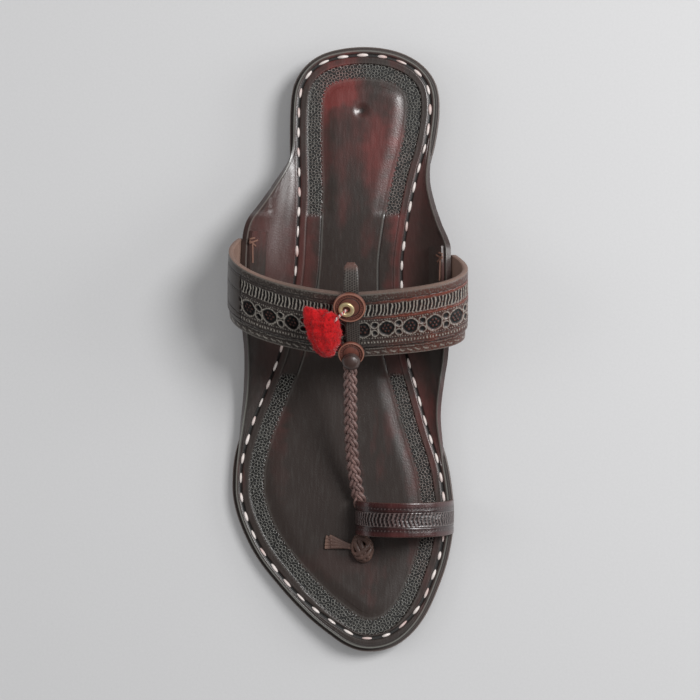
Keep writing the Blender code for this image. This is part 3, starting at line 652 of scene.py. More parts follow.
def channel_share(along):
    heel = 1.0 - ramp(HEEL_CHANNEL_END - CHANNEL_FADE, HEEL_CHANNEL_END, along)
    return max(heel, ramp(FORE_CHANNEL_START, FORE_CHANNEL_START + CHANNEL_FADE, along))


def hide_swell(point):
    """Slow unevenness of the hide's face."""
    return 0.12 * MM * noise.noise(point * 55.0)


def dye_and_glow_tone(point):
    """Where the maroon dye shows most: a few soft patches and the margins; two patches inside the
    heel's medial border also paint the reddish glow where the light falls.
    """
    tone = -0.16 + 0.14 * ramp(0.0, 0.05, point.y)
    warp = 0.35 * noise.noise(point * 150.0) + 0.25 * noise.noise(point * 420.0)
    for x, y, wide, high, strength in DYE_AND_GLOW_PATCHES:
        far = hypot((point.x - x) / wide, (point.y - y) / high)
        tone += strength * exp(-max(far + warp, 0.0) ** 3)
    return tone


# Reach of the groove's rows outward from the seam
GROOVE_REACH = 0.0014
# The heel's nail dimple: its place, the radii of its bottom, of the painted shade in its middle
# and of its rim, and its depth
NAIL_DIMPLE = Vector((0.0056, 0.1083, 0.0))
DIMPLE_BOTTOM, DIMPLE_SHADE, DIMPLE_RIM, DIMPLE_DEPTH = 0.0004, 0.0018, 0.0040, 0.0011

# Soft patches of dye, two of them also painted light: place, half sizes in metres and strength
DYE_AND_GLOW_PATCHES = (
    (-0.0055, 0.1200, 0.0085, 0.0105, 1.6),
    # This row and the one at (0.022, 0.075) also paint the reddish glow where the key light falls
    # inside the heel's medial border
    (0.0130, 0.090, 0.0065, 0.020, 0.60),
    (-0.014, 0.100, 0.006, 0.030, 0.35),
    (0.022, 0.075, 0.004, 0.030, 0.55),
    (-0.021, 0.040, 0.006, 0.040, 0.45),
    (0.024, 0.040, 0.007, 0.045, 0.35),
    (-0.034, -0.010, 0.009, 0.030, 0.20),
    (0.020, -0.005, 0.008, 0.030, 0.35),
    (-0.033, -0.050, 0.007, 0.030, 0.22),
    (0.030, -0.035, 0.007, 0.035, 0.30),
    (-0.005, -0.098, 0.030, 0.012, 0.22),
    (0.036, 0.078, 0.008, 0.018, 0.35),
    (-0.035, 0.045, 0.010, 0.030, 0.35),
)


def build_insole():
    looks = bpy.context.scene.sandal_looks
    columns = sole_columns(looks.sole_columns)
    count = len(columns)
    groove = looks.groove_width * 0.5
    depth = looks.groove_depth
    rows = []

    def below(q, share=1.0):
        def place(column):
            out = ear_out(column.angle, q) * INSOLE_THICKNESS * share
            return ear_point(column.angle, q) + out, 0.25, 0.1
        return place

    def margin(s):
        """The face outside the seam: fine lines lie along its edge, and the edge itself is
        lightened with painted highlight.
        """
        def place(column):
            far = GROOVE_REACH + (column.margin - GROOVE_REACH) * s
            point = ear_point(column.angle, far / column.margin)
            edge = column.margin - far
            line = max(bump(edge, 0.0011, 0.0004), 0.7 * bump(edge, 0.0019, 0.0003))
            point += ear_out(column.angle, min(far / column.margin, 0.98)) * line * 0.00015
            # Painted highlight where the edge catches the light, together with its wear
            highlight_and_wear = -0.6 * bump(edge, 0.0002, 0.0007)
            tone = 0.08 + 0.6 * dye_and_glow_tone(point)
            return point, 0.55 * line + highlight_and_wear, tone
        return place

    def seam(off):
        """The groove that the stitches lie in, darkened with painted shade; off is outward from
        the seam.
        """
        def place(column):
            if off > 0.0:
                point = ear_point(column.angle, off / column.margin)
            else:
                point = column.at(column.seam - off)
                point.z = insole_top(point.y)
            sink = 1.0 - ramp(0.45 * groove, groove, abs(off))
            point.z -= depth * sink
            return point, 0.9 * sink, 0.08 + 0.7 * dye_and_glow_tone(point)
        return place

    def inner(distance):
        """The face inside the seam: a stamped border, or two lines through the waist."""
        def place(column):
            reach = distance
            if distance < CHANNEL_START:
                reach = min(column.seam + distance - SEAM_MARGIN, CHANNEL_START - 0.0001)
            point = column.at(reach)
            share = channel_share(share_of(point.y))
            into = (reach - CHANNEL_START) / MM
            wide = CHANNEL_WIDTH / MM
            ragged = 0.45 * sin(2.0 * pi * column.travel / 0.0023)
            inside = plateau(into, -0.2, 0.4, wide - 0.5 + ragged, wide + ragged)
            line = max(bump(into, 0.0, 0.35), bump(into, wide, 0.35)) * (1.0 - share)
            ridge = max(bump(into, -0.6, 0.35), bump(into, wide + 0.6, 0.4))
            sink = 0.00022 * line - 0.00008 * ridge
            point.z = insole_top(point.y) + hide_swell(point) - sink
            # Incised lines darken, partly with painted shade; the raised lips beside them lighten
            # with painted highlight
            sunk = 0.85 * line - (0.50 - 0.32 * share) * ridge
            tone = dye_and_glow_tone(point) * (1.0 - 0.6 * share * inside)
            tone *= 1.0 - 0.6 * share * (1.0 - ramp(-0.6, 0.0, into))
            return point, sunk, tone, 0.0, share * inside, column.travel / MM, into
        return place

    rows += [below(q) for q in (0.0, 0.35, 0.7, 0.95)]
    rows += [below(1.0, share) for share in (0.9, 0.5, 0.12)]
    shares = (1.0, 0.97, 0.94, 0.90, 0.86, 0.81, 0.75, 0.68, 0.6, 0.5, 0.4, 0.3, 0.2, 0.1, 0.0)
    rows += [margin(s) for s in shares]
    rows += [seam(off * MM) for off in (1.1, 0.85, 0.6, 0.3, 0.01, -0.3, -0.6, -0.85, -1.1)]
    rows += [inner(d * MM) for d in (5.7, 6.1, 6.6, 7.1, 7.6)]
    steps = 20
    rows += [inner((7.8 + 7.6 * k / steps) * MM) for k in range(steps + 1)]
    rows += [inner(d * MM) for d in (15.8, 16.3, 16.9)]
    last = inner(17.5 * MM)
    rows += [last]

    bm = start()
    lay_grid(bm, count, len(rows) - 1, lambda i, j: rows[j](columns[i % count]))

    def top_face(point, on_ring):
        """The middle of the face, with the heel's nail dimple."""
        flat = Vector((point.x, point.y, 0.0))
        sunk = 0.0
        if not on_ring:
            point.z = insole_top(point.y) + hide_swell(point)
            far = (flat - NAIL_DIMPLE).length
            point.z -= DIMPLE_DEPTH * (1.0 - ramp(DIMPLE_BOTTOM, DIMPLE_RIM, far))
            # Painted shade in the dimple's middle
            sunk = 0.6 * (1.0 - ramp(DIMPLE_BOTTOM, DIMPLE_SHADE, far))
        return point, sunk, dye_and_glow_tone(point)

    rungs(bm, columns, lambda column: last(column)[0], looks.rung_steps, top_face)
    rungs(bm, columns, lambda column: rows[0](column)[0], 2, lambda point, edge: (point, 0, 0))
    edge = KDTree(count)
    for number, column in enumerate(columns):
        edge.insert(column.base, number)
    edge.balance()
    for vert in bm.verts:
        x, y, z = vert.co
        if z > insole_top(y) - 0.5 * INSOLE_THICKNESS:
            vert.co.z += border_level(edge.find((x, y, 0.0))[2], share_of(y))
    finish("tooled_insole", bm, ["insole"], FINISH["insole"])


def border_level(far, along):
    """Height of the insole's face by its way from the edge: a sunk border whose inner
    wall climbs softly, and a middle that swells a little."""
    end = CHANNEL_START + CHANNEL_WIDTH
    into = ramp(CHANNEL_START - 0.0002, CHANNEL_START + 0.0004, far)
    climb = ramp(end - 0.0003, end + 0.0072, far)
    return 0.0003 * climb - CHANNEL_DEPTH * channel_share(along) * into * (1.0 - climb)


def build_outsole():
    columns = sole_columns(260)
    count = len(columns)

    def level(distance, share, sunk):
        def place(column):
            point = column.at(distance * MM)
            point.z = outsole_bottom(point.y) + OUTSOLE_THICKNESS * share
            return point, sunk
        return place

    rows = [level(*row) for row in (
        (1.2, 0.0, 0.1), (0.5, 0.0, 0.1), (0.12, 0.05, -0.1), (0.0, 0.16, 0.0),
        (0.0, 0.30, 0.1), (0.10, 0.34, 0.9), (0.0, 0.38, 0.1), (0.0, 0.60, 0.0),
        (0.08, 0.64, 0.7), (0.0, 0.68, 0.0), (0.0, 0.84, -0.1), (0.12, 0.95, -0.5),
        (0.45, 1.0, -0.25), (0.9, 0.985, 0.7), (1.2, 1.0, -0.1), (1.9, 1.0, 0.8),
        (2.6, 1.0, 1.0), (5.0, 1.0, 1.0))]
    bm = start()
    lay_grid(bm, count, len(rows) - 1, lambda i, j: rows[j](columns[i % count]))
    rungs(bm, columns, lambda column: rows[0](column)[0], 12, lambda point, edge: (point, 0.1, 0))
    rungs(bm, columns, lambda column: rows[-1](column)[0], 2, lambda point, edge: (point, 1, 0))
    finish("layered_outsole", bm, ["outsole"], FINISH["sole"])


def build_lifts():
    """Three stacked lifts with rubbed edges, cut straight at the breast."""
    breast = angle_at(HEEL_BREAST, -1)
    steps = 90
    angles = [-breast + 2.0 * breast * i / steps for i in range(steps + 1)]
    names = ("heel_top_piece", "heel_lift_middle", "heel_lift_upper")
    for number, name in enumerate(names):
        low = number * (LIFT_THICKNESS + GAP)
        bm = start()
        face = bm.faces.new([bm.verts.new((*inset(angle, LIFT_INSET).xy, low))
                             for angle in angles])
        up = bmesh.ops.extrude_face_region(bm, geom=[face])
        moved = [item for item in up["geom"] if isinstance(item, bmesh.types.BMVert)]
        bmesh.ops.translate(bm, verts=moved, vec=(0.0, 0.0, LIFT_THICKNESS))
        rim = [edge for edge in bm.edges if abs(edge.verts[0].co.z - edge.verts[1].co.z) < 1e-6]
        bmesh.ops.bevel(bm, geom=rim, affect="EDGES", offset=0.0003, segments=2, profile=0.5,
                        material=-1)
        finish("rubbed_" + name, bm, [name], FINISH["sole"])


# Stitches


# Half height of a stitch, how deep it lies, and how much deeper its ends dive
THONG_HALF = 0.00068
THONG_SUNK = 0.00014
THONG_DIVE = 0.00050


def stitch_places(pitch):
    """Points of the seam at even steps, with the way along it."""
    steps = 2 * OUTLINE_STEPS
    angles = [2.0 * pi * i / steps for i in range(steps + 1)]
    points = [ear_point(angle, 0.0) for angle in angles]
    _places, length = even_steps(points, 1)
    count = round(length / pitch)
    places, _length = even_steps(points, count)
    rows = []
    for place in places[:-1]:
        here = between(points, place)
        ahead = between(points, min(place + 3.0, steps))
        behind = between(points, max(place - 3.0, 0.0))
        rows.append((here, (ahead - behind).normalized()))
    return rows


def build_stitches():
    """White rawhide thong, sewn in and out along the groove."""
    looks = bpy.context.scene.sandal_looks
    dyes = bpy.context.scene.sandal_colours
    # Rawhide thong, scraped white, that has taken up a little of the maroon dye
    made, tree, shader, mottle, tint = mottled(
        "white_rawhide_thong", linear("#c2b3ac"), dyes.rawhide, 2.38, 3.0,
        Roughness=0.55, Coat_Weight=0.05)
    stain = add(tree, "Attribute", attribute_name="tone").outputs["Fac"]
    tint = add(tree, "Mix", {0: stain, 6: tint, 7: linear("#a5655c")},
               data_type="RGBA").outputs[2]
    tree.links.new(tint, shader.inputs["Base Color"])
    relief = add(tree, "Bump", {"Height": mottle, "Strength": 0.4, "Distance": 0.1 * MM})
    tree.links.new(relief.outputs[0], shader.inputs["Normal"])

    bm = start()
    tone = bm.verts.layers.float["tone"]
    half = 0.5 * looks.stitch_length
    wide = 0.5 * looks.stitch_width
    for number, (here, run) in enumerate(stitch_places(looks.stitch_pitch)):
        across = Vector((-run.y, run.x, 0.0)).normalized()
        up = across.cross(run) * -1.0
        up = up if up.z > 0.0 else -up
        uneven = noise.noise_vector(Vector((number * 1.37, 0.2, 5.1)))
        long = half * (1.0 + 0.22 * uneven.x)
        broad = wide * (1.0 + 0.35 * uneven.y)
        stain = max(0.0, 1.6 * uneven.z)
        fresh = bmesh.ops.create_uvsphere(bm, u_segments=14, v_segments=10, radius=1.0)["verts"]
        for vert in fresh:
            x, y, z = vert.co
            blunt = 1.0 / max(abs(x) ** 3 + abs(y * y + z * z) ** 1.5, 1e-9) ** (1.0 / 3.0)
            x, y, z = x * blunt, y * blunt, z * blunt
            taper = 1.0 - 0.34 * x * x
            aside = y * taper * broad + uneven.z * 0.4 * x * wide
            lift = z * taper * THONG_HALF - THONG_SUNK - THONG_DIVE * x * x
            vert.co = here + run * (x * long) + across * aside + up * lift
            vert[tone] = min(stain * (0.5 + x * uneven.x), 0.8)
    finish("seam_stitches", bm, (), made, sharp=3.0)


# Band


def crown_point(share):
    along = BAND_REAR_CROWN + (BAND_FRONT_CROWN - BAND_REAR_CROWN) * share
    height = BAND_REAR_HEIGHT + (BAND_FRONT_HEIGHT - BAND_REAR_HEIGHT) * share
    return Vector((BAND_CROWN_SIDE * BALL_WIDTH, y_of(along), height))


def band_half(share, side, steps):
    """The band's middle surface from the lap outside an ear up to the crown."""
    rear, front, side_pull, lean = BAND_ENDS[side]
    angle = angle_at(rear + (front - rear) * share, side)
    away = INSOLE_THICKNESS + GAP + 0.5 * BAND_THICKNESS
    shares = [1.0 - BAND_LAP * (1.0 - k / 6.0) for k in range(7)]
    lap = [ear_point(angle, q) + ear_out(angle, q) * away for q in shares]
    half_way = ear_point(angle, 1.0 - 0.5 * BAND_LAP)
    half_way += ear_out(angle, 1.0 - 0.5 * BAND_LAP) * away
    top = lap[-1]
    crown = crown_point(share)
    first = top + (top - half_way).normalized() * side_pull
    first.y = top.y + (crown.y - top.y) * lean
    second = crown + Vector((side * BAND_TOP_PULL, (top.y - crown.y) * BAND_TOP_LEAN, 0.0))
    return lap + [bezier((top, first, second, crown), i / steps) for i in range(1, steps + 1)]


def band_line(share, columns):
    """A whole line of the band at even steps, with its run from the crown in metres."""
    lateral = band_half(share, -1, 46)
    medial = band_half(share, 1, 46)
    points = lateral + medial[-2::-1]
    places, length = even_steps(points, columns)
    _at, left = even_steps(lateral, 1)
    return [between(points, place) for place in places], [
        length * i / columns - left for i in range(columns + 1)]


# The band's face in millimetres, v from its rear edge: its width, its tooled lines
# (place, strength, half width) and its rows of beads (place, half width, pitch, shine)
BAND_FACE = 30.5
BAND_LINES = ((3.9, 0.8, 0.30), (4.9, 0.6, 0.26), (11.4, 0.8, 0.30), (12.3, 0.5, 0.26),
              (21.9, 0.9, 0.30), (24.4, 0.8, 0.28), (25.6, 1.3, 0.42), (27.2, 0.5, 0.25))
BEAD_ROWS = ((12.8, 0.45, 1.1, 1.5), (21.2, 0.45, 1.1, 1.5), (23.2, 0.75, 1.35, 1.6))
LADDER_START, LADDER_WIDTH, RUNG_PITCH, RUNG_LEAN = 5.4, 5.6, 1.6, 0.15
FRIEZE_START, FRIEZE_END, FLOWER_PITCH = 12.9, 21.3, 10.4
FLOWER_RIM, RING_OFF, RING_RIM = 3.55, 1.95, 1.55
WAVE_PLACE, WAVE_PITCH = 28.3, 3.6
# Where the stamped frame ends across the foot, and a height above both ears, in metres
FRAME_LATERAL, FRAME_MEDIAL, ABOVE_EARS = -0.0452, 0.0512, 0.03


def tooled_band(run, share, begin, end):
    """Height in millimetres, painted shade and highlight (with the tooling's dye and wear), and
    tone of the band's stamped face.
    """
    along = run / MM
    v = share * BAND_FACE
    shaky = noise.noise_vector(Vector((along * 0.45, v * 0.45, 1.0)))
    along += 0.45 * shaky.x
    v += 0.30 * shaky.y
    on = plateau(along, begin - 1.5, begin, end, end + 1.5)
    height, sunk, tone = 0.0, 0.0, 0.0
    # Incised lines, darkened partly with painted shade
    for centre, strength, half in BAND_LINES:
        line = bump(v, centre, half) * strength
        height -= 0.22 * line
        sunk += 0.8 * line

    # Ladder of slanted bars: painted shade in the notches, painted highlight on the bars between
    # them
    into = (v - LADDER_START) / LADDER_WIDTH
    if 0.0 < into < 1.0:
        wander = 0.12 * noise.noise(Vector((along * 0.4, 7.0, 0.0)))
        bow = 0.35 * (2.0 * into - 1.0) ** 2
        u = (along + RUNG_LEAN * v + bow) / RUNG_PITCH + wander
        bar = abs(u % 1.0 - 0.5) * 2.0
        notch = (1.0 - ramp(0.42, 0.74, bar)) * plateau(into, 0.0, 0.10, 0.9, 1.0)
        height -= 0.34 * notch * on
        ends = plateau(into, 0.0, 0.06, 0.94, 1.0)
        sunk += (0.95 * notch - 0.85 * (1.0 - notch)) * on * ends

    # Frieze of punched flowers between pairs of small rings, all with raised rims: painted shade
    # in the pits, painted highlight on the rims
    into = (v - FRIEZE_START) / (FRIEZE_END - FRIEZE_START)
    if 0.0 < into < 1.0:
        u = along / FLOWER_PITCH % 1.0
        y = (into - 0.5) * (FRIEZE_END - FRIEZE_START)
        flower_x = (u - 0.5) * FLOWER_PITCH
        ring_x = (u if u < 0.5 else u - 1.0) * FLOWER_PITCH
        far = hypot(flower_x, y)
        petals = 0.5 + 0.5 * cos(6.0 * atan2(y, flower_x))
        pit = (1.0 - ramp(2.8, 3.3, far)) * (1.0 - bump(far, 0.0, 0.6)) * (
            1.0 - 0.8 * petals * bump(far, 1.6, 0.8))
        near = hypot(ring_x, abs(y) - RING_OFF)
        pit = max(pit, 1.0 - ramp(0.75, 1.15, near))
        scallop = 0.55 + 0.45 * abs(sin(7.0 * atan2(y, flower_x)))
        rim = max(scallop * bump(far, FLOWER_RIM, 0.55), bump(near, RING_RIM, 0.45))
        tooth = 0.5 + 0.5 * sin(along * 5.2) * sin(v * 5.2)
        field = (1.0 - pit) * (1.0 - rim) * ramp(3.4, 3.8, far)
        frame_on = plateau(into, 0.0, 0.07, 0.93, 1.0) * on
        height -= (0.40 * pit - 0.12 * rim + 0.12 * tooth * field) * frame_on
        sunk += (1.2 * pit - 0.90 * rim * (1.0 - pit) + 0.7 * tooth * field) * frame_on
        tone += 0.5 * (1.0 - ramp(2.5, 3.0, far)) * frame_on

    # Rows of tiny beads round the frieze, each with a painted highlight
    for row, wide, pitch, shine in BEAD_ROWS:
        into = bump(v, row, wide)
        if into > 0.0:
            bead = bump(along / pitch % 1.0, 0.5, 0.5)
            height += (0.18 * bead - 0.10) * into * on
            sunk += (0.55 - shine * bead) * into * on

    # Lines that close the frame at its ends
    if 3.9 < v < 25.8:
        line = max(bump(along, begin - 0.5, 0.4), 0.8 * bump(along, end + 0.5, 0.4))
        height -= 0.22 * line
        sunk += 0.8 * line

    # Wavy dashes in the front margin, raised and lightened with painted highlight
    wave = 2.0 * pi * along / WAVE_PITCH
    dash = bump(v, WAVE_PLACE + 0.3 * sin(wave), 0.45) * ramp(-0.8, 0.2, sin(wave + 1.0))
    dash = max(dash, 0.6 * bump(v, 26.5, 0.3))
    height += 0.10 * dash
    sunk -= 0.75 * dash

    # Wear: red-brown towards the medial end, and small uneven flecks
    red = ramp(-5.0, 35.0, along)
    wear = noise.noise(Vector((along * 1.7, v * 1.7, 3.0)))
    sunk += 0.60 * wear * on
    tone += red * (1.2 * bump(v, 11.7, 0.9) + 1.0 * bump(v, 4.7, 0.8) + 0.35 + 0.5 * wear) - 0.08
    return height, min(sunk, 1.15), min(tone, 0.85)


def build_band():
    looks = bpy.context.scene.sandal_looks
    columns = looks.band_columns
    half = 0.5 * BAND_THICKNESS
    steps = looks.band_rows
    profile = [(0.0, 0.55, 2), (0.012, 0.92, 2)]
    profile += [(0.02 + 0.968 * k / steps, 1.0, 0) for k in range(steps + 1)]
    profile += [(1.0, 0.45, 2), (1.0, -0.5, 2), (0.985, -1.0, 1)]
    profile += [(0.985 - 0.97 * k / 7, -1.0, 1) for k in range(1, 8)]
    profile += [(0.0, -0.6, 2), (0.0, 0.0, 2)]
    lines = {}
    for share, _lift, _kind in profile:
        if share not in lines:
            lines[share] = (band_line(share, columns), band_line(share + 0.03, columns)[0])
    middle, runs = band_line(0.5, columns)
    open_runs = [(point.x, run) for point, run in zip(middle, runs) if point.z > ABOVE_EARS]
    begin = min(run for x, run in open_runs if x > FRAME_LATERAL)
    end = max(run for x, run in open_runs if x < FRAME_MEDIAL)
    count = len(profile)
    thin = BAND_STEP / half

    def place(i, j):
        share, lift, kind = profile[j % count]
        (line, travel), beside = lines[share]
        run = heading(line, i)
        off = (beside[i] - line[i]).cross(run).normalized()
        stepped = thin * ramp(BAND_STEP_AT, BAND_STEP_AT + 0.012, share)
        height, sunk, tone = 0.0, 0.0, 0.0
        if kind == 0:
            edge = plateau(share, 0.02, 0.05, 0.96, 0.988)
            height, sunk, tone = tooled_band(travel[i], share, begin / MM, end / MM)
            height = height * edge - 0.12 * (1.0 - edge)
            sunk = sunk * edge - 0.35 * (1.0 - edge)
        lift = lift - stepped if lift > 0.0 else lift
        ends = ramp(0.018, 0.050, abs(travel[i]))
        rear = 0.35 * (1.0 - ramp(0.012, 0.026, share))
        bare = (rear, 1.0, 0.10 + rear + 0.4 * ends)[kind]
        return line[i] + off * (lift * half + height * MM), sunk, tone, bare

    bm = start()
    lay_grid(bm, columns, count, place)
    finish("stamped_band", bm, ["upper"], FINISH["band"], cap=True)


# Toe loop and plait


# The loop's face in millimetres: its middle from one edge, then from the middle its
# rows of beads, its lines and the ladder's half width
LOOP_MIDDLE, LOOP_BEADS, LOOP_LINES, LOOP_LADDER = 7.7, 4.9, 3.4, 3.1


def loop_route(steps):
    y = y_of(LOOP_CENTRE)
    edge = outline(angle_at(LOOP_CENTRE, 1)).x
    first = Vector((edge - OUTSOLE_MARGIN + GAP + 0.5 * LOOP_THICKNESS, y, 0.0))
    first.z = outsole_bottom(y) + OUTSOLE_THICKNESS + GAP
    last = Vector((LOOP_FOOT_SIDE * BALL_WIDTH, y, insole_top(y) + GAP))
    pull = (8.0 * (insole_top(y) + LOOP_HEIGHT) - first.z - last.z) / 6.0
    points = (first, Vector((first.x, y, pull)), Vector((last.x, y, pull)), last)
    return [bezier(points, i / steps) for i in range(steps + 1)]


def tooled_loop(along, v):
    """The loop's face: rows of beads by its margins and a ladder down its middle; beads and bars
    get painted highlight, lines and notches painted shade.
    """
    height, sunk = 0.0, 0.0
    v = v - LOOP_MIDDLE
    for row in (-LOOP_BEADS, LOOP_BEADS):
        bead = bump(along / 1.7 % 1.0, 0.5, 0.42) * bump(v, row, 0.55)
        line = bump(v, row, 0.75)
        height += 0.16 * bead - 0.10 * line
        sunk += 0.55 * line - 1.2 * bead
    for row in (-LOOP_LINES, LOOP_LINES):
        line = bump(v, row, 0.3)
        height -= 0.15 * line
        sunk += 0.8 * line
    if abs(v) < LOOP_LADDER:
        u = (along + 0.34 * abs(v)) / 1.9 + 0.16 * noise.noise(Vector((along * 0.5, v * 0.2, 2.0)))
        bar = abs(u % 1.0 - 0.5) * 2.0
        notch = 1.0 - ramp(0.25, 0.6, bar)
        notch *= 1.0 - ramp(LOOP_LADDER - 0.5, LOOP_LADDER, abs(v))
        height -= 0.28 * notch
        sunk += 1.0 * notch - 0.40 * (1.0 - notch)
    return height, sunk


def build_toe_loop():
    columns = 150
    fine = loop_route(400)
    places, length = even_steps(fine, columns)
    route = [between(fine, place) for place in places]
    half = 0.5 * LOOP_THICKNESS
    steps = 52
    profile = [(0.0, 0.3, 1), (0.15, 0.85, 1)]
    profile += [(0.4 + 14.6 * k / steps, 1.0, 0) for k in range(steps + 1)]
    profile += [(15.25, 0.85, 1), (15.4, 0.3, 1), (15.4, -0.7, 1), (15.0, -1.0, 1),
                (LOOP_MIDDLE, -1.0, 1), (0.4, -1.0, 1), (0.0, -0.7, 1)]
    count = len(profile)

    def place(i, j):
        v, lift, kind = profile[j % count]
        run = heading(route, i)
        off = Vector((run.z, 0.0, -run.x)).normalized()
        height, sunk = (0.0, 0.15) if kind else tooled_loop(length / MM * i / columns, v)
        tone = 0.5 * ramp(4.6, 6.6, abs(v - LOOP_MIDDLE))
        way = Vector((0.0, 0.5 * LOOP_WIDTH - v * MM, 0.0))
        return route[i] + way + off * (lift * half + height * MM), sunk, tone, 0.5 * kind

    bm = start()
    lay_grid(bm, columns, count, place)
    finish("stamped_toe_loop", bm, (), FINISH["loop"], cap=True)


def plait_route(steps):
    begin = crown_point(0.97)
    begin.x = 0.021 * BALL_WIDTH
    slope = (crown_point(1.0) - crown_point(0.9)).normalized()
    half = 0.5 * PLAIT_THICKNESS
    foot_y = y_of(LOOP_CENTRE) + 0.5 * LOOP_WIDTH
    foot = Vector((0.042 * BALL_WIDTH, foot_y, insole_top(foot_y) + GAP + half + 0.0012))
    end = Vector((foot.x + 0.0020, foot_y - LOOP_WIDTH, 0.0))
    end.z = insole_top(end.y) + GAP + half
    before_foot = begin.lerp(foot, 0.68) + Vector((-0.0042, 0.0, -0.0010))
    down = (foot - before_foot).normalized()
    curve = (begin, begin + slope * 0.3 * (foot - begin).length, before_foot, foot)
    route = [bezier(curve, i / steps) for i in range(steps + 1)]
    flat = (foot, foot + down * 0.0045, end + Vector((0.0, 0.0045, 0.0)), end)
    return route + [bezier(flat, i / 30) for i in range(1, 31)]


def build_plait():
    """Three thongs that cross in turn, from the cap down to the knot."""
    fine = plait_route(240)
    columns = 330
    places, length = even_steps(fine, columns)
    route = [between(fine, place) for place in places]
    bm = start()
    for strand in range(3):
        line = []
        ups = []
        for i, point in enumerate(route):
            run = heading(route, i).normalized()
            across = (Vector((1.0, 0.0, 0.0)) - run * run.x).normalized()
            up = across.cross(run)
            up = up if up.z > 0.0 else -up
            travel = length * i / columns
            phase = 2.0 * pi * (travel / PLAIT_PITCH + strand / 3.0)
            swing = 0.26 * PLAIT_WIDTH * sin(phase)
            lift = 0.21 * PLAIT_THICKNESS * sin(2.0 * phase)
            line.append(point + across * swing + up * lift)
            tilt = 0.30 * sin(phase)
            ups.append((up + across * tilt).normalized())
        for off in (-0.115 * PLAIT_WIDTH, 0.115 * PLAIT_WIDTH):
            beside = [point + heading(line, i).cross(ups[i]).normalized() * off
                      for i, point in enumerate(line)]
            tube(bm, beside, lambda t: (0.125 * PLAIT_WIDTH, 0.25 * PLAIT_THICKNESS), 10, ups)
    finish("plaited_thongs", bm, (), FINISH["plait"])


# Trim on the crown


def crown_frame(share, lift):
    slope = (crown_point(0.0) - crown_point(1.0)).normalized()
    across = Vector((1.0, 0.0, 0.0))
    off = across.cross(slope)
    place = crown_point(share) + off * (0.5 * BAND_THICKNESS + lift)
    return Matrix.Translation(place) @ Matrix((across, slope, off)).transposed().to_4x4()


def crown_width():
    return (crown_point(0.0) - crown_point(1.0)).length


def rosette_frame():
    return crown_frame(ROSETTE_FROM_REAR / crown_width(), 2.0 * GAP + STRIP_THICKNESS)


def lower_rosette_frame():
    share = 1.0 - LOWER_ROSETTE_FROM_FRONT / crown_width()
    return crown_frame(share, 2.0 * GAP + STRIP_THICKNESS)


def turned(bm, profile, steps=72):
    """Spin a profile of radius, height, painted shade (below zero, lightening) and tone round the
    Z axis.
    """
    sunk = bm.verts.layers.float["sunk"]
    tone = bm.verts.layers.float["tone"]
    verts = []
    for radius, height, hollow_shade, tint in profile:
        vert = bm.verts.new((radius, 0.0, height))
        vert[sunk], vert[tone] = hollow_shade, tint
        verts.append(vert)
    edges = [bm.edges.new(pair) for pair in zip(verts, verts[1:])]
    bmesh.ops.spin(bm, geom=verts + edges, cent=(0, 0, 0), axis=(0, 0, 1), dvec=(0, 0, 0),
                   angle=2.0 * pi, steps=steps, use_merge=True)
    bmesh.ops.remove_doubles(bm, verts=bm.verts, dist=WELD)


def disc(name, node, radius, frame_at, dots):
    """A leather disc: tan rim, ring of punched dots, low middle."""
    thick, rim = ROSETTE_THICKNESS, DISC_RIM
    bm = start()
    # The disc's grooves are darkened with painted shade
    profile = [(0.0, thick, 0.1, 0.2), (0.58 * radius, thick, 0.1, 0.2),
               (0.63 * radius, thick - 0.6 * rim, 0.9, 0.0), (0.68 * radius, thick, 0.0, 0.3)]
    profile += [((0.68 + 0.15 * k / 8) * radius, thick, 0.0, 0.3) for k in range(1, 9)]
    profile += [(0.86 * radius, thick - 0.3 * rim, 0.7, 0.0),
                (0.88 * radius, thick + 0.8 * rim, -0.2, 0.5),
                (0.93 * radius, thick + rim, -0.6, 0.6),
                (0.98 * radius, thick + 0.6 * rim, -0.2, 0.4),
                (radius, thick - rim, 0.0, 0.3), (radius, rim, 0.3, 0.0),
                (0.97 * radius, 0.0, 0.5, 0.0), (0.0, 0.0, 0.5, 0.0)]
    turned(bm, profile, 144)
    sunk = bm.verts.layers.float["sunk"]
    for vert in bm.verts:
        if vert.co.z < 0.8 * thick:
            continue
        away = hypot(vert.co.x, vert.co.y)
        turn = atan2(vert.co.y, vert.co.x) / (2.0 * pi) * dots
        off = (turn % 1.0 - 0.5) * 2.0 * pi * away / dots
        # Painted shade in each punched dot
        pit = bump(hypot(off, away - 0.755 * radius), 0.0, 0.00045)
        vert.co.z -= 0.00025 * pit
        vert[sunk] += 1.0 * pit
    bm.transform(frame_at)
    finish(name, bm, [node], FINISH["disc"])


def build_discs():
    disc("punched_rosette", "rosette", ROSETTE_RADIUS, rosette_frame(), 30)
    disc("punched_lower_rosette", "lower_rosette", LOWER_ROSETTE_RADIUS,
         lower_rosette_frame(), 24)


def eyelet_frame():
    top = ROSETTE_THICKNESS + GAP
    return rosette_frame() @ Matrix.Translation((-EYELET_SIDE, -0.6 * EYELET_SIDE, top))


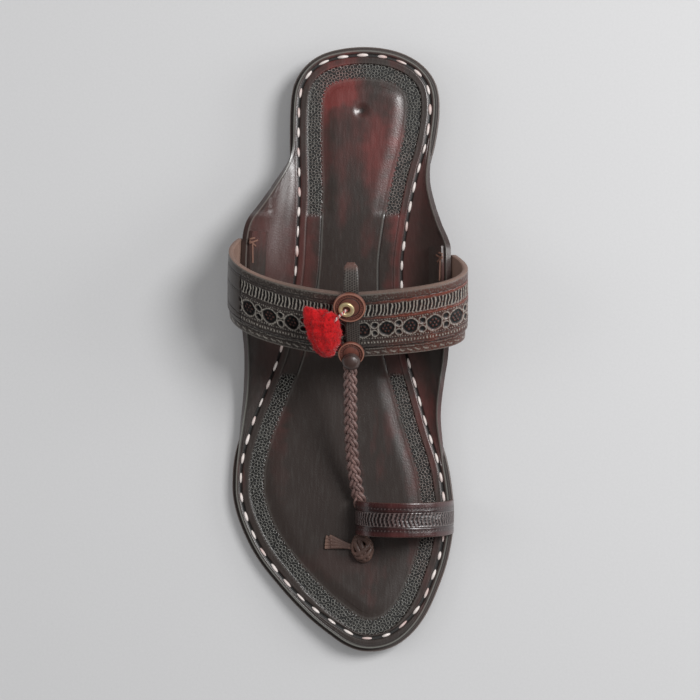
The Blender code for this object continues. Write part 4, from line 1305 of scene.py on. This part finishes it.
def build_eyelet():
    """A stamped brass eyelet with a rolled collar."""
    # Stamped brass, dulled by handling, so it shines only in part like clean metal
    made, tree, shader, haze, _tint = mottled(
        "stamped_brass", linear("#bfa873"), linear("#ecdcb4"), 1.43, 3.0, Metallic=0.6)
    rough = add(tree, "MapRange", {"Value": haze, "To Min": 0.28, "To Max": 0.50})
    tree.links.new(rough.outputs[0], shader.inputs["Roughness"])
    bm = start()
    outer, bore, thick = EYELET_RADIUS, EYELET_BORE, EYELET_THICKNESS
    middle = 0.5 * (outer + bore)
    half = 0.5 * (outer - bore)
    roll = [(middle + half * cos(pi * k / 14), 0.25 * thick + 0.75 * thick * sin(pi * k / 14))
            for k in range(15)]
    profile = [(outer, 0.0)] + roll + [(bore, 0.0), (bore - 0.0001, -0.0008)]
    turned(bm, [(radius, height, 0.0, 0.0) for radius, height in profile], 64)
    bm.transform(eyelet_frame())
    finish("brass_eyelet", bm, ["eyelet"], made)


def build_cap():
    """Domed leather cap where the plait begins."""
    lift = ROSETTE_THICKNESS + DISC_RIM + GAP
    bm = start()
    steps = 20
    dome = []
    for k in range(steps + 1):
        turn = 0.5 * pi * k / steps
        crease = bump(turn, 1.15, 0.12)
        # The crease is sunk and darkened with painted shade
        dome.append(((CAP_RADIUS - 0.0001 * crease) * sin(turn), CAP_HEIGHT * cos(turn),
                     0.6 * crease, 0.1))
    turned(bm, dome + [(0.0, 0.0, 0.0, 0.0)], 72)
    for vert in bm.verts:
        vert.co *= 1.0 + 0.035 * noise.noise(vert.co * 420.0)
    bm.transform(lower_rosette_frame() @ Matrix.Translation((0.0, -CAP_FORWARD, lift)))
    finish("domed_plait_cap", bm, ["plait_cap"], FINISH["band"])


def build_tail_tab():
    """Upper end of the centre strap: dotted face and a brown, rounded tip."""
    frame_at = crown_frame(0.0, GAP) @ Matrix.Translation((STRIP_SIDE, 0.0, 0.0))
    width = crown_width()
    places = [-width, -0.5 * width, 0.0, 0.35 * STRIP_TAIL, 0.7 * STRIP_TAIL,
              0.9 * STRIP_TAIL, STRIP_TAIL]
    widths = Curve(places, [0.8, 1.0, 1.0, 1.05, 1.0, 0.9, 0.55])
    droop = Curve(places, [0.0, 0.0, 0.0, 0.13, 0.51, 0.82, 1.0])
    columns = 150
    profile = [(-1.0, 0.45), (-0.95, 0.8)]
    profile += [(-0.86 + 1.72 * k / 18, 1.0) for k in range(19)]
    profile += [(0.95, 0.8), (1.0, 0.45), (0.9, 0.0), (-0.9, 0.0)]
    count = len(profile)

    def place(i, j):
        across, lift = profile[j % count]
        at = -width + (width + STRIP_TAIL) * i / columns
        tip = ramp(STRIP_TAIL - 0.0035, STRIP_TAIL, at)
        x = across * 0.5 * STRIP_WIDTH * widths.at(at)
        grid_x = x / (1.05 * MM)
        grid_y = at / (1.05 * MM) + 0.5 * (floor(grid_x) % 2)
        dot = hypot(grid_x % 1.0 - 0.5, grid_y % 1.0 - 0.5) * 1.05
        pit = bump(dot, 0.0, 0.42) * (1.0 - tip) if lift == 1.0 else 0.0
        z = lift * STRIP_THICKNESS - 0.00022 * pit - STRIP_DROOP * droop.at(at)
        fleck = 0.14 if lift == 1.0 else 0.0
        # The dots are darkened with painted shade in their pits, and the face between them is
        # flecked lighter
        sunk = (1.4 * pit - fleck) * (1.0 - tip)
        return frame_at @ Vector((x, at, z)), sunk, 0.3 * tip, 0.18 * tip

    bm = start()
    lay_grid(bm, columns, count, place)
    finish("dotted_tail_tab", bm, ["centre_strip"], FINISH["band"], cap=True)


# Pompom


def beside_crown(share, across):
    line = band_line(share, 240)[0]
    x = crown_point(share).x + across
    for a, b in zip(line, line[1:]):
        if a.x <= x < b.x and a.z > ABOVE_EARS:
            return a.lerp(b, (x - a.x) / (b.x - a.x))
    raise ValueError("the band doesn't reach this far across")


def pompom_frame():
    share = POMPOM_FROM_REAR / crown_width()
    reach = 0.003
    side = -POMPOM_SIDE
    run = (beside_crown(share, side + reach) - beside_crown(share, side - reach)).normalized()
    slope = beside_crown(share - 0.1, side) - beside_crown(share + 0.1, side)
    off = run.cross(slope).normalized()
    slope = off.cross(run)
    place = beside_crown(share, side) + off * (0.5 * BAND_THICKNESS + GAP)
    turn = Matrix((run, slope, off)).transposed().to_4x4()
    lift = Matrix.Translation((0.0, 0.0, 0.5 * POMPOM_FLAT * POMPOM_THICKNESS))
    return Matrix.Translation(place) @ turn @ lift


def pompom_point(way):
    """A point of the wool's surface in one direction from its middle."""
    half = (0.5 * POMPOM_WIDTH, 0.5 * POMPOM_LENGTH, 0.5 * POMPOM_THICKNESS)
    lobes = (
        (Vector((-0.74, 0.67, 0.0)), 0.46, 9),
        (Vector((0.66, 0.75, 0.0)), 0.12, 8),
        (Vector((0.25, -0.97, 0.0)), 0.10, 4),
        (Vector((-0.1, 0.9, 0.2)), -0.16, 8),
    )
    swell = 1.0 - 0.12 * max(0.0, -way.y) * abs(way.x)
    for lobe, strength, power in lobes:
        swell += strength * max(0.0, way.dot(lobe.normalized())) ** power
    swell += 0.035 * sin(9.0 * way.x + 5.0 * way.z + 4.0 * way.y)
    swell += 0.030 * sin(11.0 * way.y - 7.0 * way.z)
    swell += 0.045 * noise.noise(way * 5.0) + 0.035 * noise.noise(way * 13.0)
    point = Vector((way.x * half[0], way.y * half[1], way.z * half[2])) * swell
    point.x -= POMPOM_LEAN * point.y
    point.z = max(point.z, -POMPOM_FLAT * half[2])
    return point


def build_pompom():
    """Carded wool: a matted, lobed body covered in short curled locks."""
    dyes = bpy.context.scene.sandal_colours
    # Carded wool dyed red: matt and clumped, with painted shade between its locks
    made, tree, shader, clump, tint = mottled(
        "dyed_carded_wool", linear("#8c0a0f"), dyes.wool, 2.08, 5.0, 0.7,
        Roughness=0.92, Sheen_Weight=0.18, Sheen_Roughness=0.45, Specular_IOR_Level=0.1)
    hollow_shade = add(tree, "Attribute", attribute_name="sunk").outputs["Fac"]
    tint = add(tree, "Mix", {0: hollow_shade, 6: tint, 7: linear("#4a0508")},
               data_type="RGBA").outputs[2]
    tree.links.new(tint, shader.inputs["Base Color"])
    relief = add(tree, "Bump", {"Height": clump, "Strength": 0.9, "Distance": 0.5 * MM})
    tree.links.new(relief.outputs[0], shader.inputs["Normal"])

    frame_at = pompom_frame()
    bm = start()
    sunk = bm.verts.layers.float["sunk"]
    bmesh.ops.create_icosphere(bm, subdivisions=5, radius=1.0)
    for vert in bm.verts:
        way = vert.co.normalized()
        curl = noise.noise(way * 14.0) + 0.9 * noise.noise(way * 41.0)
        vert.co = pompom_point(way) * (1.0 + 0.035 * curl)
        # Painted shade in the hollows between the locks
        vert[sunk] = min(max(-0.9 * curl, 0.0), 0.7)

    looks = bpy.context.scene.sandal_looks
    locks = looks.wool_locks
    golden_angle = pi * (3.0 - sqrt(5.0))
    for k in range(locks):
        z = 1.0 - 1.72 * (k + 0.5) / locks
        around = golden_angle * k
        flat = sqrt(max(0.0, 1.0 - z * z))
        way = Vector((flat * cos(around), flat * sin(around), z))
        jitter = noise.noise_vector(way * 31.0 + Vector((k * 0.37, 0.0, 0.0)))
        way = (way + jitter * 0.16).normalized()
        root = pompom_point(way) * 0.95
        lean = (way + jitter * 0.9).normalized()
        reach = 0.0006 + 0.0016 * abs(jitter.x)
        side = lean.cross(Vector((jitter.z, 1.0, jitter.y))).normalized() * 0.00007
        curl = lean.cross(side).normalized() * reach * (0.5 * jitter.y)
        route = [root, root + lean * reach * 0.55 + curl, root + lean * reach + curl * 2.6]
        rows = []
        for point, share in zip(route, (1.0, 0.8, 0.25)):
            third = lean.cross(side) * share
            rows.append([bm.verts.new(point + side * share),
                         bm.verts.new(point - side * 0.5 * share + third * 0.87),
                         bm.verts.new(point - side * 0.5 * share - third * 0.87)])
        for low, high in zip(rows, rows[1:]):
            edges = []
            for row in (low, high):
                for a, b in ((0, 1), (1, 2), (2, 0)):
                    edges.append(bm.edges.get((row[a], row[b])) or bm.edges.new((row[a], row[b])))
            bmesh.ops.bridge_loops(bm, edges=edges)
        bm.faces.new(rows[0][::-1])
        bm.faces.new(rows[-1])
    bm.transform(frame_at)
    finish("wool_pompom", bm, ["pompom"], made, sharp=3.0)


def build_thread():
    """Red and white cotton, twisted, from the pompom into the eyelet."""
    colours = (("red_cotton_ply", "#b5262a"), ("white_cotton_ply", "#e9e1da"))
    hole = eyelet_frame() @ Vector((0.0, 0.0, 0.0004))
    frame_at = pompom_frame()
    half = Vector((0.5 * POMPOM_WIDTH, 0.5 * POMPOM_LENGTH, 0.5 * POMPOM_THICKNESS))
    knot = frame_at @ Vector((0.55 * half.x, 0.62 * half.y, 0.25 * half.z))
    over = hole.lerp(knot, 0.4) + Vector((0.0, 0.0, 0.0019))
    ply_radius, ply_off, twists = 0.00038, 0.00032, 4.0
    for number, (name, colour) in enumerate(colours):
        # Cotton ply, fuzzy, its dye blurred by the ply beside it
        made = mottled(name, linear(colour), linear("#8f4a48"), 0.40,
                       Roughness=0.8, Sheen_Weight=0.3)[0]
        bm = start()
        steps = 40
        route = []
        for i in range(steps + 1):
            t = i / steps
            point = bezier((knot, knot.lerp(over, 0.9), over, hole), t)
            turn = 2.0 * pi * twists * t + pi * number
            route.append(point + Vector((cos(turn), 0.3 * sin(turn), sin(turn))) * ply_off)
        tube(bm, route, lambda t: (ply_radius, ply_radius), 8)
        finish(name + "_thread", bm, (), made, sharp=3.0)


# Knot


def knot_centre():
    end = plait_route(60)[-1]
    y = y_of(LOOP_CENTRE) - 0.5 * LOOP_WIDTH - GAP - 0.5 * KNOT_LENGTH
    return Vector((end.x, y, insole_top(y) + GAP + KNOT_FLAT * 0.5 * KNOT_HEIGHT))


def build_knot():
    """Overhand knot of the plait's thongs and their frayed, tan-tipped ends."""
    centre = knot_centre() + Vector((-0.0007, -0.0002, 0.0))
    half = Vector((0.59 * KNOT_WIDTH, 0.53 * KNOT_LENGTH, 0.5 * KNOT_HEIGHT))
    floor_z = centre.z - KNOT_FLAT * half.z
    bm = start()
    turns = (Vector((0.9, 0.45, 0.2)), Vector((-0.6, 0.8, 0.5)), Vector((0.2, 0.5, -0.9)))
    for number, normal in enumerate(turns):
        normal.normalize()
        side = normal.orthogonal().normalized()
        other = normal.cross(side)
        for offset in (-0.24, 0.24):
            route = []
            for k in range(57):
                turn = 2.0 * pi * k / 56
                way = side * cos(turn) + other * sin(turn) + normal * offset
                swell = 0.86 + 0.07 * cos(2.0 * turn + number)
                point = Vector((way.x * half.x, way.y * half.y, way.z * half.z)) * swell
                route.append(centre + point)
            ups = [(point - centre).normalized() for point in route]
            tube(bm, route, lambda t: (0.00120, 0.00095), 12, ups)
    for vert in bm.verts:
        vert.co.z = max(vert.co.z, floor_z)

    ends = 8
    root = centre + Vector((-0.55 * half.x, 0.0, -0.2 * half.z))
    for k in range(ends):
        fan = (k + 0.5) / ends - 0.5
        long = TAIL_LENGTH * (0.92 + 0.08 * cos(3.0 * k)) - 0.55 * half.x
        tip = root + Vector((-long, TAIL_LEAN * long + fan * TAIL_WIDTH * 0.86, 0.0))
        lift = 0.0009 + 0.0006 * (k % 2)
        tip.z = insole_top(tip.y) + GAP + lift
        neck = root.lerp(tip, 0.35) - Vector((0.0, fan * TAIL_WIDTH * 0.25, 0.0))
        neck.z += 0.0002
        curve = (root + Vector((0.0, fan * 0.0016, 0.0)), neck, root.lerp(tip, 0.7), tip)
        route = [bezier(curve, i / 26) for i in range(27)]
        tube(bm, route, lambda t: (0.00072 + 0.00010 * t, 0.00070 - 0.00022 * t), 8)
    sunk = bm.verts.layers.float["sunk"]
    tone = bm.verts.layers.float["tone"]
    for vert in bm.verts:
        out = centre.x - vert.co.x
        vert[tone] = 0.1 * ramp(0.010, 0.016, out)
        vert[sunk] = -0.20 * ramp(TAIL_LENGTH - 0.0022, TAIL_LENGTH - 0.0004, out)
    finish("knotted_thong", bm, ["toe_knot"], FINISH["knot"])


# Ears


def build_patches():
    """The strips inside the ears keep their CAD form, cut from the insole's hide."""
    for name in ("ear_patch_lateral", "ear_patch_medial"):
        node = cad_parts[name]
        node.data.materials.clear()
        node.data.materials.append(FINISH["strip"])


def build_ear_stitches():
    """Thongs that tie the band's rear corners through the ears, over the ears' edge."""
    bm = start()
    for side in (-1, 1):
        rear, front, _pull, _lean = BAND_ENDS[side]
        # Each thong: shares of the band's width and of the ear's height, end to end
        for here, low_q, there, high_q in ((0.00, 0.86, 0.05, 1.0), (0.09, 0.89, 0.02, 1.0),
                                           (-0.03, 0.92, -0.01, 1.0), (0.05, 0.95, 0.34, 0.93)):
            route = []
            for i in range(21):
                share = here + (there - here) * i / 20
                q = low_q + (high_q - low_q) * i / 20
                angle = angle_at(rear + (front - rear) * share, side)
                point = ear_point(angle, q) - ear_out(angle, q) * 0.0020
                route.append(point + Vector((0.0, 0.0, 0.0006 * ramp(0.97, 1.0, q))))
            out = (-ear_out(angle, 0.9)).normalized()
            tube(bm, route, lambda t: (0.00045, 0.00035), 8, [out] * 21)
    finish("ear_thong_stitches", bm, (), FINISH["thong"])


# Stage


# Lamps: name, place and size in metres, share of the key light's power
LAMPS = (
    ("key", (0.72, 0.42, 1.05), 0.50, 1.00),
    ("low", (1.05, 0.15, 0.48), 0.50, 0.24),
    ("side", (-0.90, 0.10, 0.70), 0.50, 0.11),
    ("top", (-0.25, 0.35, 1.50), 1.20, 0.18),
)
CAMERA_PLACE = Vector((0.065, -0.0011, 1.0))
CAMERA_AIM = Vector((0.0, 0.0, 0.012))


def build_stage():
    """Pale grey paper floor, soft key light from the right and the photo's camera."""
    looks = bpy.context.scene.sandal_looks
    scene = bpy.context.scene
    scene.view_settings.view_transform = "Standard"
    # Uncoated grey paper with a fine tooth
    made = mottled("matt_grey_paper", linear("#c5c5c6"), linear("#cbcbcc"), 1.11,
                   Roughness=0.9, Specular_IOR_Level=0.15)[0]
    bm = start()
    bmesh.ops.create_grid(bm, x_segments=2, y_segments=2, size=3.0)
    mesh = bpy.data.meshes.new("paper_floor")
    bm.to_mesh(mesh)
    bm.free()
    mesh.materials.append(made)
    paper = bpy.data.objects.new("paper_floor", mesh)
    scene.collection.objects.link(paper)

    world = bpy.data.worlds.new("studio")
    world.use_nodes = True
    world.node_tree.nodes["Background"].inputs["Color"].default_value = linear("#f0f0f0")
    world.node_tree.nodes["Background"].inputs["Strength"].default_value = looks.fill_light
    world.cycles_visibility.glossy = False
    scene.world = world
    for name, place, size, share in LAMPS:
        light = bpy.data.lights.new(name, "AREA")
        light.shape = "DISK"
        light.size = size
        light.energy = share * looks.key_light
        lamp = bpy.data.objects.new(name, light)
        lamp.location = place
        lamp.visible_glossy = name in ("key", "low")
        lamp.rotation_euler = (-Vector(place)).to_track_quat("-Z", "Y").to_euler()
        scene.collection.objects.link(lamp)

    camera = bpy.data.cameras.new("camera")
    camera.sensor_width = 36.0
    camera.lens = looks.camera_lens
    eye = bpy.data.objects.new("camera", camera)
    eye.location = CAMERA_PLACE
    back = (CAMERA_PLACE - CAMERA_AIM).normalized()
    right = Vector((0.0, 1.0, 0.0)).cross(back).normalized()
    turn = Matrix((right, back.cross(right), back)).transposed()
    eye.rotation_euler = turn.to_euler()
    scene.collection.objects.link(eye)
    scene.camera = eye


# Add-on


class SandalLooks(bpy.types.PropertyGroup):
    """Sizes and strengths that a user would change."""

    stitch_pitch: bpy.props.FloatProperty(
        name="Stitch pitch", description="Distance from one seam stitch to the next",
        default=0.0090, unit="LENGTH")
    stitch_length: bpy.props.FloatProperty(
        name="Stitch length", description="Length of the thong that shows in one stitch",
        default=0.0048, unit="LENGTH")
    stitch_width: bpy.props.FloatProperty(
        name="Stitch width", description="Width of the seam's thong",
        default=0.0013, unit="LENGTH")
    groove_width: bpy.props.FloatProperty(
        name="Groove width", description="Width of the groove that the seam lies in",
        default=0.0021, unit="LENGTH")
    groove_depth: bpy.props.FloatProperty(
        name="Groove depth", description="Depth of the groove that the seam lies in",
        default=0.0005, unit="LENGTH")
    dye_share: bpy.props.FloatProperty(
        name="Dye share", description="How much of the insole shows the maroon dye",
        default=0.30, min=0.0, max=1.0, subtype="FACTOR")
    sole_columns: bpy.props.IntProperty(
        name="Sole columns", description="Steps of the insole's mesh along each side",
        default=460, min=40)
    rung_steps: bpy.props.IntProperty(
        name="Rung steps", description="Steps of the insole's mesh across its middle",
        default=36, min=4)
    band_columns: bpy.props.IntProperty(
        name="Band columns", description="Steps of the band's mesh along it",
        default=640, min=60)
    band_rows: bpy.props.IntProperty(
        name="Band rows", description="Steps of the band's mesh across it",
        default=92, min=10)
    wool_locks: bpy.props.IntProperty(
        name="Wool locks", description="Number of short locks that stand out of the pompom",
        default=1700, min=0)
    key_light: bpy.props.FloatProperty(
        name="Key light", description="Power of the light from the right",
        default=12.7, subtype="POWER")
    fill_light: bpy.props.FloatProperty(
        name="Fill light", description="Strength of the even light from all round",
        default=0.39)
    camera_lens: bpy.props.FloatProperty(
        name="Camera lens", description="Focal length of the camera in millimetres",
        default=112.0)


DYE = {"size": 4, "min": 0.0, "max": 1.0, "subtype": "COLOR"}


class SandalColours(bpy.types.PropertyGroup):
    """Dyes that a user would change."""

    hide: bpy.props.FloatVectorProperty(
        name="Hide", description="Dark dye of the insole", default=linear("#38302d"),
        **DYE)
    maroon: bpy.props.FloatVectorProperty(
        name="Maroon", description="Dye that shows through the insole's dark one",
        default=linear("#703330"), **DYE)
    band: bpy.props.FloatVectorProperty(
        name="Band", description="Dark dye of the instep band", default=linear("#37302d"),
        **DYE)
    band_edge: bpy.props.FloatVectorProperty(
        name="Band's worn edge", description="Red-brown that shows at the band's lines",
        default=linear("#7a3726"), **DYE)
    raw_edge: bpy.props.FloatVectorProperty(
        name="Raw hide", description="Undyed hide at the band's cut edge and back",
        default=linear("#876c60"), **DYE)
    rawhide: bpy.props.FloatVectorProperty(
        name="Rawhide", description="Colour of the seam's white thong",
        default=linear("#f3edea"), **DYE)
    wool: bpy.props.FloatVectorProperty(
        name="Wool", description="Red of the pompom", default=linear("#cf2226"),
        **DYE)


class SANDAL_OT_insole(bpy.types.Operator):
    """Insole with its ears, seam groove, stamped border and raised middle"""
    bl_idname = "sandal.insole"
    bl_label = "Tooled insole"

    def execute(self, context):
        build_insole()
        return {"FINISHED"}


class SANDAL_OT_sole(bpy.types.Operator):
    """Layered outsole and the three heel lifts"""
    bl_idname = "sandal.sole"
    bl_label = "Outsole and heel lifts"

    def execute(self, context):
        build_outsole()
        build_lifts()
        return {"FINISHED"}


class SANDAL_OT_stitches(bpy.types.Operator):
    """White rawhide stitches round the sole"""
    bl_idname = "sandal.stitches"
    bl_label = "Seam stitches"

    def execute(self, context):
        build_stitches()
        return {"FINISHED"}


class SANDAL_OT_band(bpy.types.Operator):
    """Stamped instep band"""
    bl_idname = "sandal.band"
    bl_label = "Stamped band"

    def execute(self, context):
        build_band()
        return {"FINISHED"}


class SANDAL_OT_toe_loop(bpy.types.Operator):
    """Stamped toe loop"""
    bl_idname = "sandal.toe_loop"
    bl_label = "Toe loop"

    def execute(self, context):
        build_toe_loop()
        return {"FINISHED"}


class SANDAL_OT_plait(bpy.types.Operator):
    """Three plaited thongs"""
    bl_idname = "sandal.plait"
    bl_label = "Plait"

    def execute(self, context):
        build_plait()
        return {"FINISHED"}


class SANDAL_OT_trim(bpy.types.Operator):
    """Discs, eyelet, plait cap and tail tab on the band's crown"""
    bl_idname = "sandal.trim"
    bl_label = "Crown trim"

    def execute(self, context):
        build_discs()
        build_eyelet()
        build_cap()
        build_tail_tab()
        return {"FINISHED"}


class SANDAL_OT_pompom(bpy.types.Operator):
    """Wool pompom and the thread that ties it"""
    bl_idname = "sandal.pompom"
    bl_label = "Pompom"

    def execute(self, context):
        build_pompom()
        build_thread()
        return {"FINISHED"}


class SANDAL_OT_knot(bpy.types.Operator):
    """Knot in front of the toe loop, with its frayed ends"""
    bl_idname = "sandal.knot"
    bl_label = "Toe knot"

    def execute(self, context):
        build_knot()
        return {"FINISHED"}


class SANDAL_OT_ears(bpy.types.Operator):
    """Strips inside the ears and the thongs over the ears' edge"""
    bl_idname = "sandal.ears"
    bl_label = "Ear strips"

    def execute(self, context):
        build_patches()
        build_ear_stitches()
        return {"FINISHED"}


class SANDAL_OT_stage(bpy.types.Operator):
    """Paper floor, lights and camera"""
    bl_idname = "sandal.stage"
    bl_label = "Stage"

    def execute(self, context):
        build_stage()
        return {"FINISHED"}


STEPS = (
    SANDAL_OT_insole, SANDAL_OT_sole, SANDAL_OT_stitches, SANDAL_OT_band,
    SANDAL_OT_toe_loop, SANDAL_OT_plait, SANDAL_OT_trim, SANDAL_OT_pompom, SANDAL_OT_knot,
    SANDAL_OT_ears, SANDAL_OT_stage,
)


class SANDAL_PT_looks(bpy.types.Panel):
    """Lists the sandal's sizes and the operators that make its pieces"""
    bl_idname = "SANDAL_PT_looks"
    bl_label = "Kolhapuri sandal"
    bl_space_type = "VIEW_3D"
    bl_region_type = "UI"
    bl_category = "Sandal"

    def draw(self, context):
        for group in (context.scene.sandal_looks, context.scene.sandal_colours):
            for name in group.bl_rna.properties.keys():
                if name not in ("rna_type", "name"):
                    self.layout.prop(group, name)
        for step in STEPS:
            self.layout.operator(step.bl_idname)


CLASSES = (SandalLooks, SandalColours, *STEPS, SANDAL_PT_looks)


def register():
    for each in CLASSES:
        bpy.utils.register_class(each)
    bpy.types.Scene.sandal_looks = bpy.props.PointerProperty(type=SandalLooks)
    bpy.types.Scene.sandal_colours = bpy.props.PointerProperty(type=SandalColours)


def unregister():
    del bpy.types.Scene.sandal_colours
    del bpy.types.Scene.sandal_looks
    for each in reversed(CLASSES):
        bpy.utils.unregister_class(each)


def main():
    register()
    make_leathers()
    for step in STEPS:
        getattr(bpy.ops.sandal, step.bl_idname.split(".")[1])()


if __name__ == "__main__":
    main()
